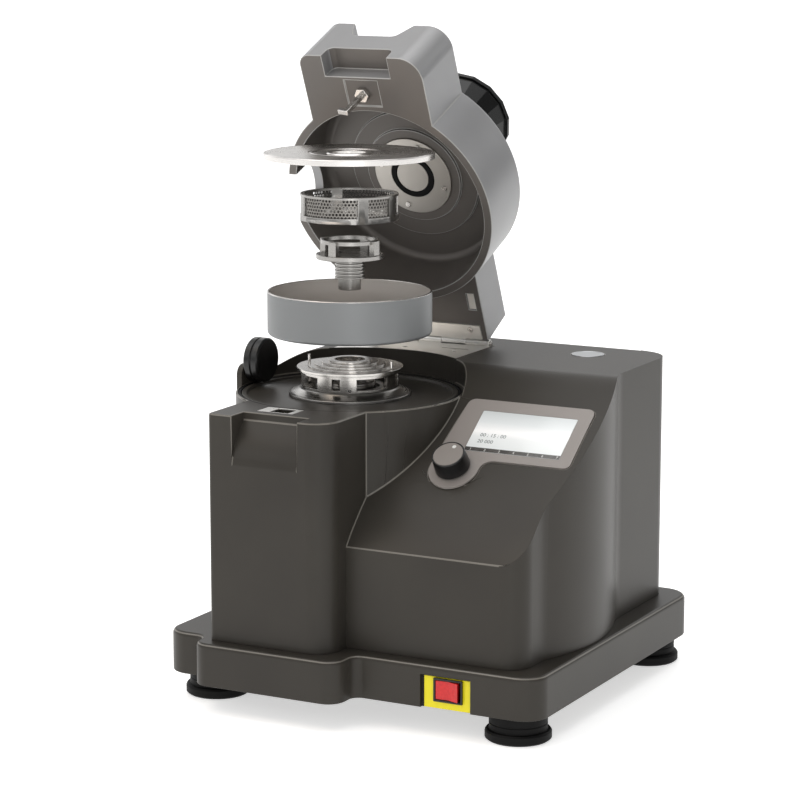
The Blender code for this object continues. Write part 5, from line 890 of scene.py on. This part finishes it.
# The display's dark bar and figures, and the white ink of the numbers and the knob's mark:
# even tones with a little unevenness, as a screen's dots and printed ink have.
menu = speckled("dark_display_dots", "4c4a48", 0.2, 6.25, [(0.4, "464442"), (0.65, "565452")], PANEL)
digit = speckled("grey_display_dots", "6d7374", 0.3, 1.111, [(0.3, "5e6465"), (0.7, "7c8283")], PANEL)
white_mark = speckled("white_ink", "d9d9d6", 0.4, 1.111, [(0.3, "cfcfcc"), (0.7, "e3e3e0")], PANEL)
bar = slab([[(148.9, -30.5), (251.4, -30.5), (251.4, -25.6), (148.9, -25.6)]], 0.8, 0.86)
piece("menu_bar", bar, menu, "housing", [], PANEL)
figures = join(printed("00 : 15 : 00", 6.2, (158, -10.5, 0.9)), printed("20 000", 6.2, (158, -19, 0.9)))
piece("display_figures", figures, digit, "housing", [], PANEL)
marks = [printed(str(index + 1), 4.2, (154 + 15.6 * index, -29.7, 0.9)) for index in range(7)]
piece("menu_figures", join(*marks), white_mark, "housing", [], PANEL)
# Grey ABS, satin from a fine-blasted mould, for the knob's face.
knob_top = moulded("grey_abs", "7c7671", "857f7a", 0.38, 0.3125, 0.05)
knob = lathe([(3.3, 2.4), (3.3, 12.4), (0, 12.4), (0, 18.7), (15.5, 18.7), (15.5, 19.9, 0.2),
              (16.6, 19.9, 0.5), (16.9, 18.7, 0.8), (17.8, 3.6, 0.8), (17.8, 2.4, 0.4)], 128)
piece("knob_skirt", knob, black, "knob", ["control_knob"], KNOB)
cap = lathe([(0, 19), (0, 19.9), (15.2, 19.9, 0.4), (15.2, 19)], 128)
cap = cut(cap, rod(2.3, 19.5, 22, 32, (2.5, 10.4, 0)))
piece("knob_face", cap, knob_top, "knob", ["knob_cap"], KNOB)
mark = rod(2.1, 19.5, 19.85, 32, (2.5, 10.4, 0), soft=0.15)
piece("knob_mark", mark, white_mark, "knob", [], KNOB)


# Mains switch: a red rocker that snaps into its black bezel, on a yellow plate in the
# plinth's bay. All three are injection-moulded, and clips hold them from behind.
ROCKER = MACHINE @ Matrix.Translation((188.5, -146, GROUND)) @ Matrix.Rotation(radians(-5), 4, "Z")
# Yellow ABS with a fine satin grain, and red polycarbonate, glossy and even.
yellow = moulded("yellow_abs", "e3d400", "ecdf10", 0.45, 0.4167, 0.03)
red = speckled("red_polycarbonate", "c8191b", 0.22, 2.5, [(0.3, "c01517"), (0.7, "cf1d1f")])
plate = cut(box((162, -147.8, -271.2), (212, -146.3, -240)), box((174, -152, -263), (203, -142, -241.5)))
piece("switch_back_plate", eased(plate, 0.3, 2), yellow, "housing", ["switch_plate"])
bezel = cut(box((173, -150.9, -264), (204, -148.1, -240.5)), box((175, -155, -262), (202, -142, -242.5)))
piece("bezel_ring", eased(bezel, 0.7, 3), black, "housing", ["switch_bezel"])
rocker = slab([[(-12.5, -5.25), (0, -3.3), (12.5, -6.55), (9.4, 3.1), (-9.4, 3.1)]], 38.1, 56.4)
rocker = eased(cut(rocker, box((6.6, -6.2, 44.5), (7.8, -4.9, 50))), 0.5, 3)
piece("rocker_key", rocker, red, "rocker", ["power_rocker"], ROCKER)


# Small fittings: a turned aluminium cap pressed into the rear deck, and the black mains
# inlet, a moulded socket that snaps into the housing's rear wall.
# Brushed aluminium: streaks 83 mm long and 1.1 mm wide, wider than real ones so they show.
alloy = brushed_metal("brushed_aluminium", "b4b6b8", 0.34)
cap = lathe([(0, 22.1), (17.2, 22.1), (17.2, 25.1, 0.6), (15.2, 25.1, 0.2), (14.9, 24.8, 0.2),
             (0, 24.8)], 128, (182.6, 181.9, 0))
piece("cap_disc", cap, alloy, "housing", ["top_cap"])
inlet = cut(box((176, 209.5, -203.5), (224, 231.5, -175.5)), box((180.5, 214, -199), (219.5, 236, -180)))
piece("inlet_shell", eased(inlet, 0.8, 3), black, "housing", ["mains_inlet"])


# Inside, out of sight: the shaft's bearing, the motor on its plate, the control board and
# the knob's spindle keep their CAD form. They take stove enamel, green solder mask or metal.
motor_paint = moulded("stove_enamel", "4d4f50", "575a5c", 0.5)
board = moulded("solder_mask", "0d3a20", "134a2a", 0.45)
for name, finish in (("shaft_bearing", bright), ("motor_plate", alloy), ("motor", motor_paint),
                     ("control_board", board), ("knob_spindle", bright)):
    nodes[name].data.materials.clear()
    nodes[name].data.materials.append(finish)


# Floor and surroundings: a white paper sweep under the machine, and a grey studio round it
# with bright and dark bands at several heights, brighter at the left, which the steel and
# the paint reflect. The camera itself sees a plain pale grey.
floor_mesh = slab([[(-90, -90), (90, -90), (90, 90), (-90, 90)]], -0.02, 0)
paper, tree, shader = shader_of("white_paper", "f6f6f5", 0.6)
shader.inputs["Emission Color"].default_value = colour("ffffff")
shader.inputs["Emission Strength"].default_value = 0.55
floor_mesh.materials.append(paper)
floor = in_scene("studio_floor", floor_mesh)
world = bpy.data.worlds.new("studio")
world.use_nodes = True
bpy.context.scene.world = world
tree = world.node_tree
sky = tree.nodes["Background"]
where = add(tree, "ShaderNodeTexCoord").outputs["Generated"]
split = add(tree, "ShaderNodeSeparateXYZ", [(where, "Vector")])
from_left = add(tree, "ShaderNodeMapRange", [(split.outputs[0], "Value")],
                From_Min=-1.0, From_Max=1.0, To_Min=1.3, To_Max=0.3).outputs[0]
height = add(tree, "ShaderNodeMapRange", [(split.outputs[2], "Value")], From_Min=-1.0, From_Max=1.0)
band = add(tree, "ShaderNodeValToRGB", [(height.outputs[0], "Fac")], [
    (0.45, 0.85), (0.5, 0.55), (0.60, 0.5), (0.7, 1.0), (0.8, 0.55), (0.95, 0.95)]).outputs[0]
patch = add(tree, "ShaderNodeTexNoise", [(where, "Vector")], Scale=1.7, Detail=1.0).outputs[0]
uneven = add(tree, "ShaderNodeMapRange", [(patch, "Value")],
             From_Min=0.4, From_Max=0.6, To_Min=0.45, To_Max=1.7).outputs[0]
for factor in (uneven, from_left):
    band = add(tree, "ShaderNodeVectorMath", [(band, 0), (factor, 1)], operation="MULTIPLY").outputs[0]
seen = add(tree, "ShaderNodeLightPath").outputs["Is Camera Ray"]
backdrop = add(tree, "ShaderNodeMix", [(seen, "Factor"), (band, 6)], data_type="RGBA")
backdrop.inputs[7].default_value = (0.88, 0.88, 0.88, 1)
tree.links.new(backdrop.outputs[2], sky.inputs["Color"])
sky.inputs["Strength"].default_value = 1.15
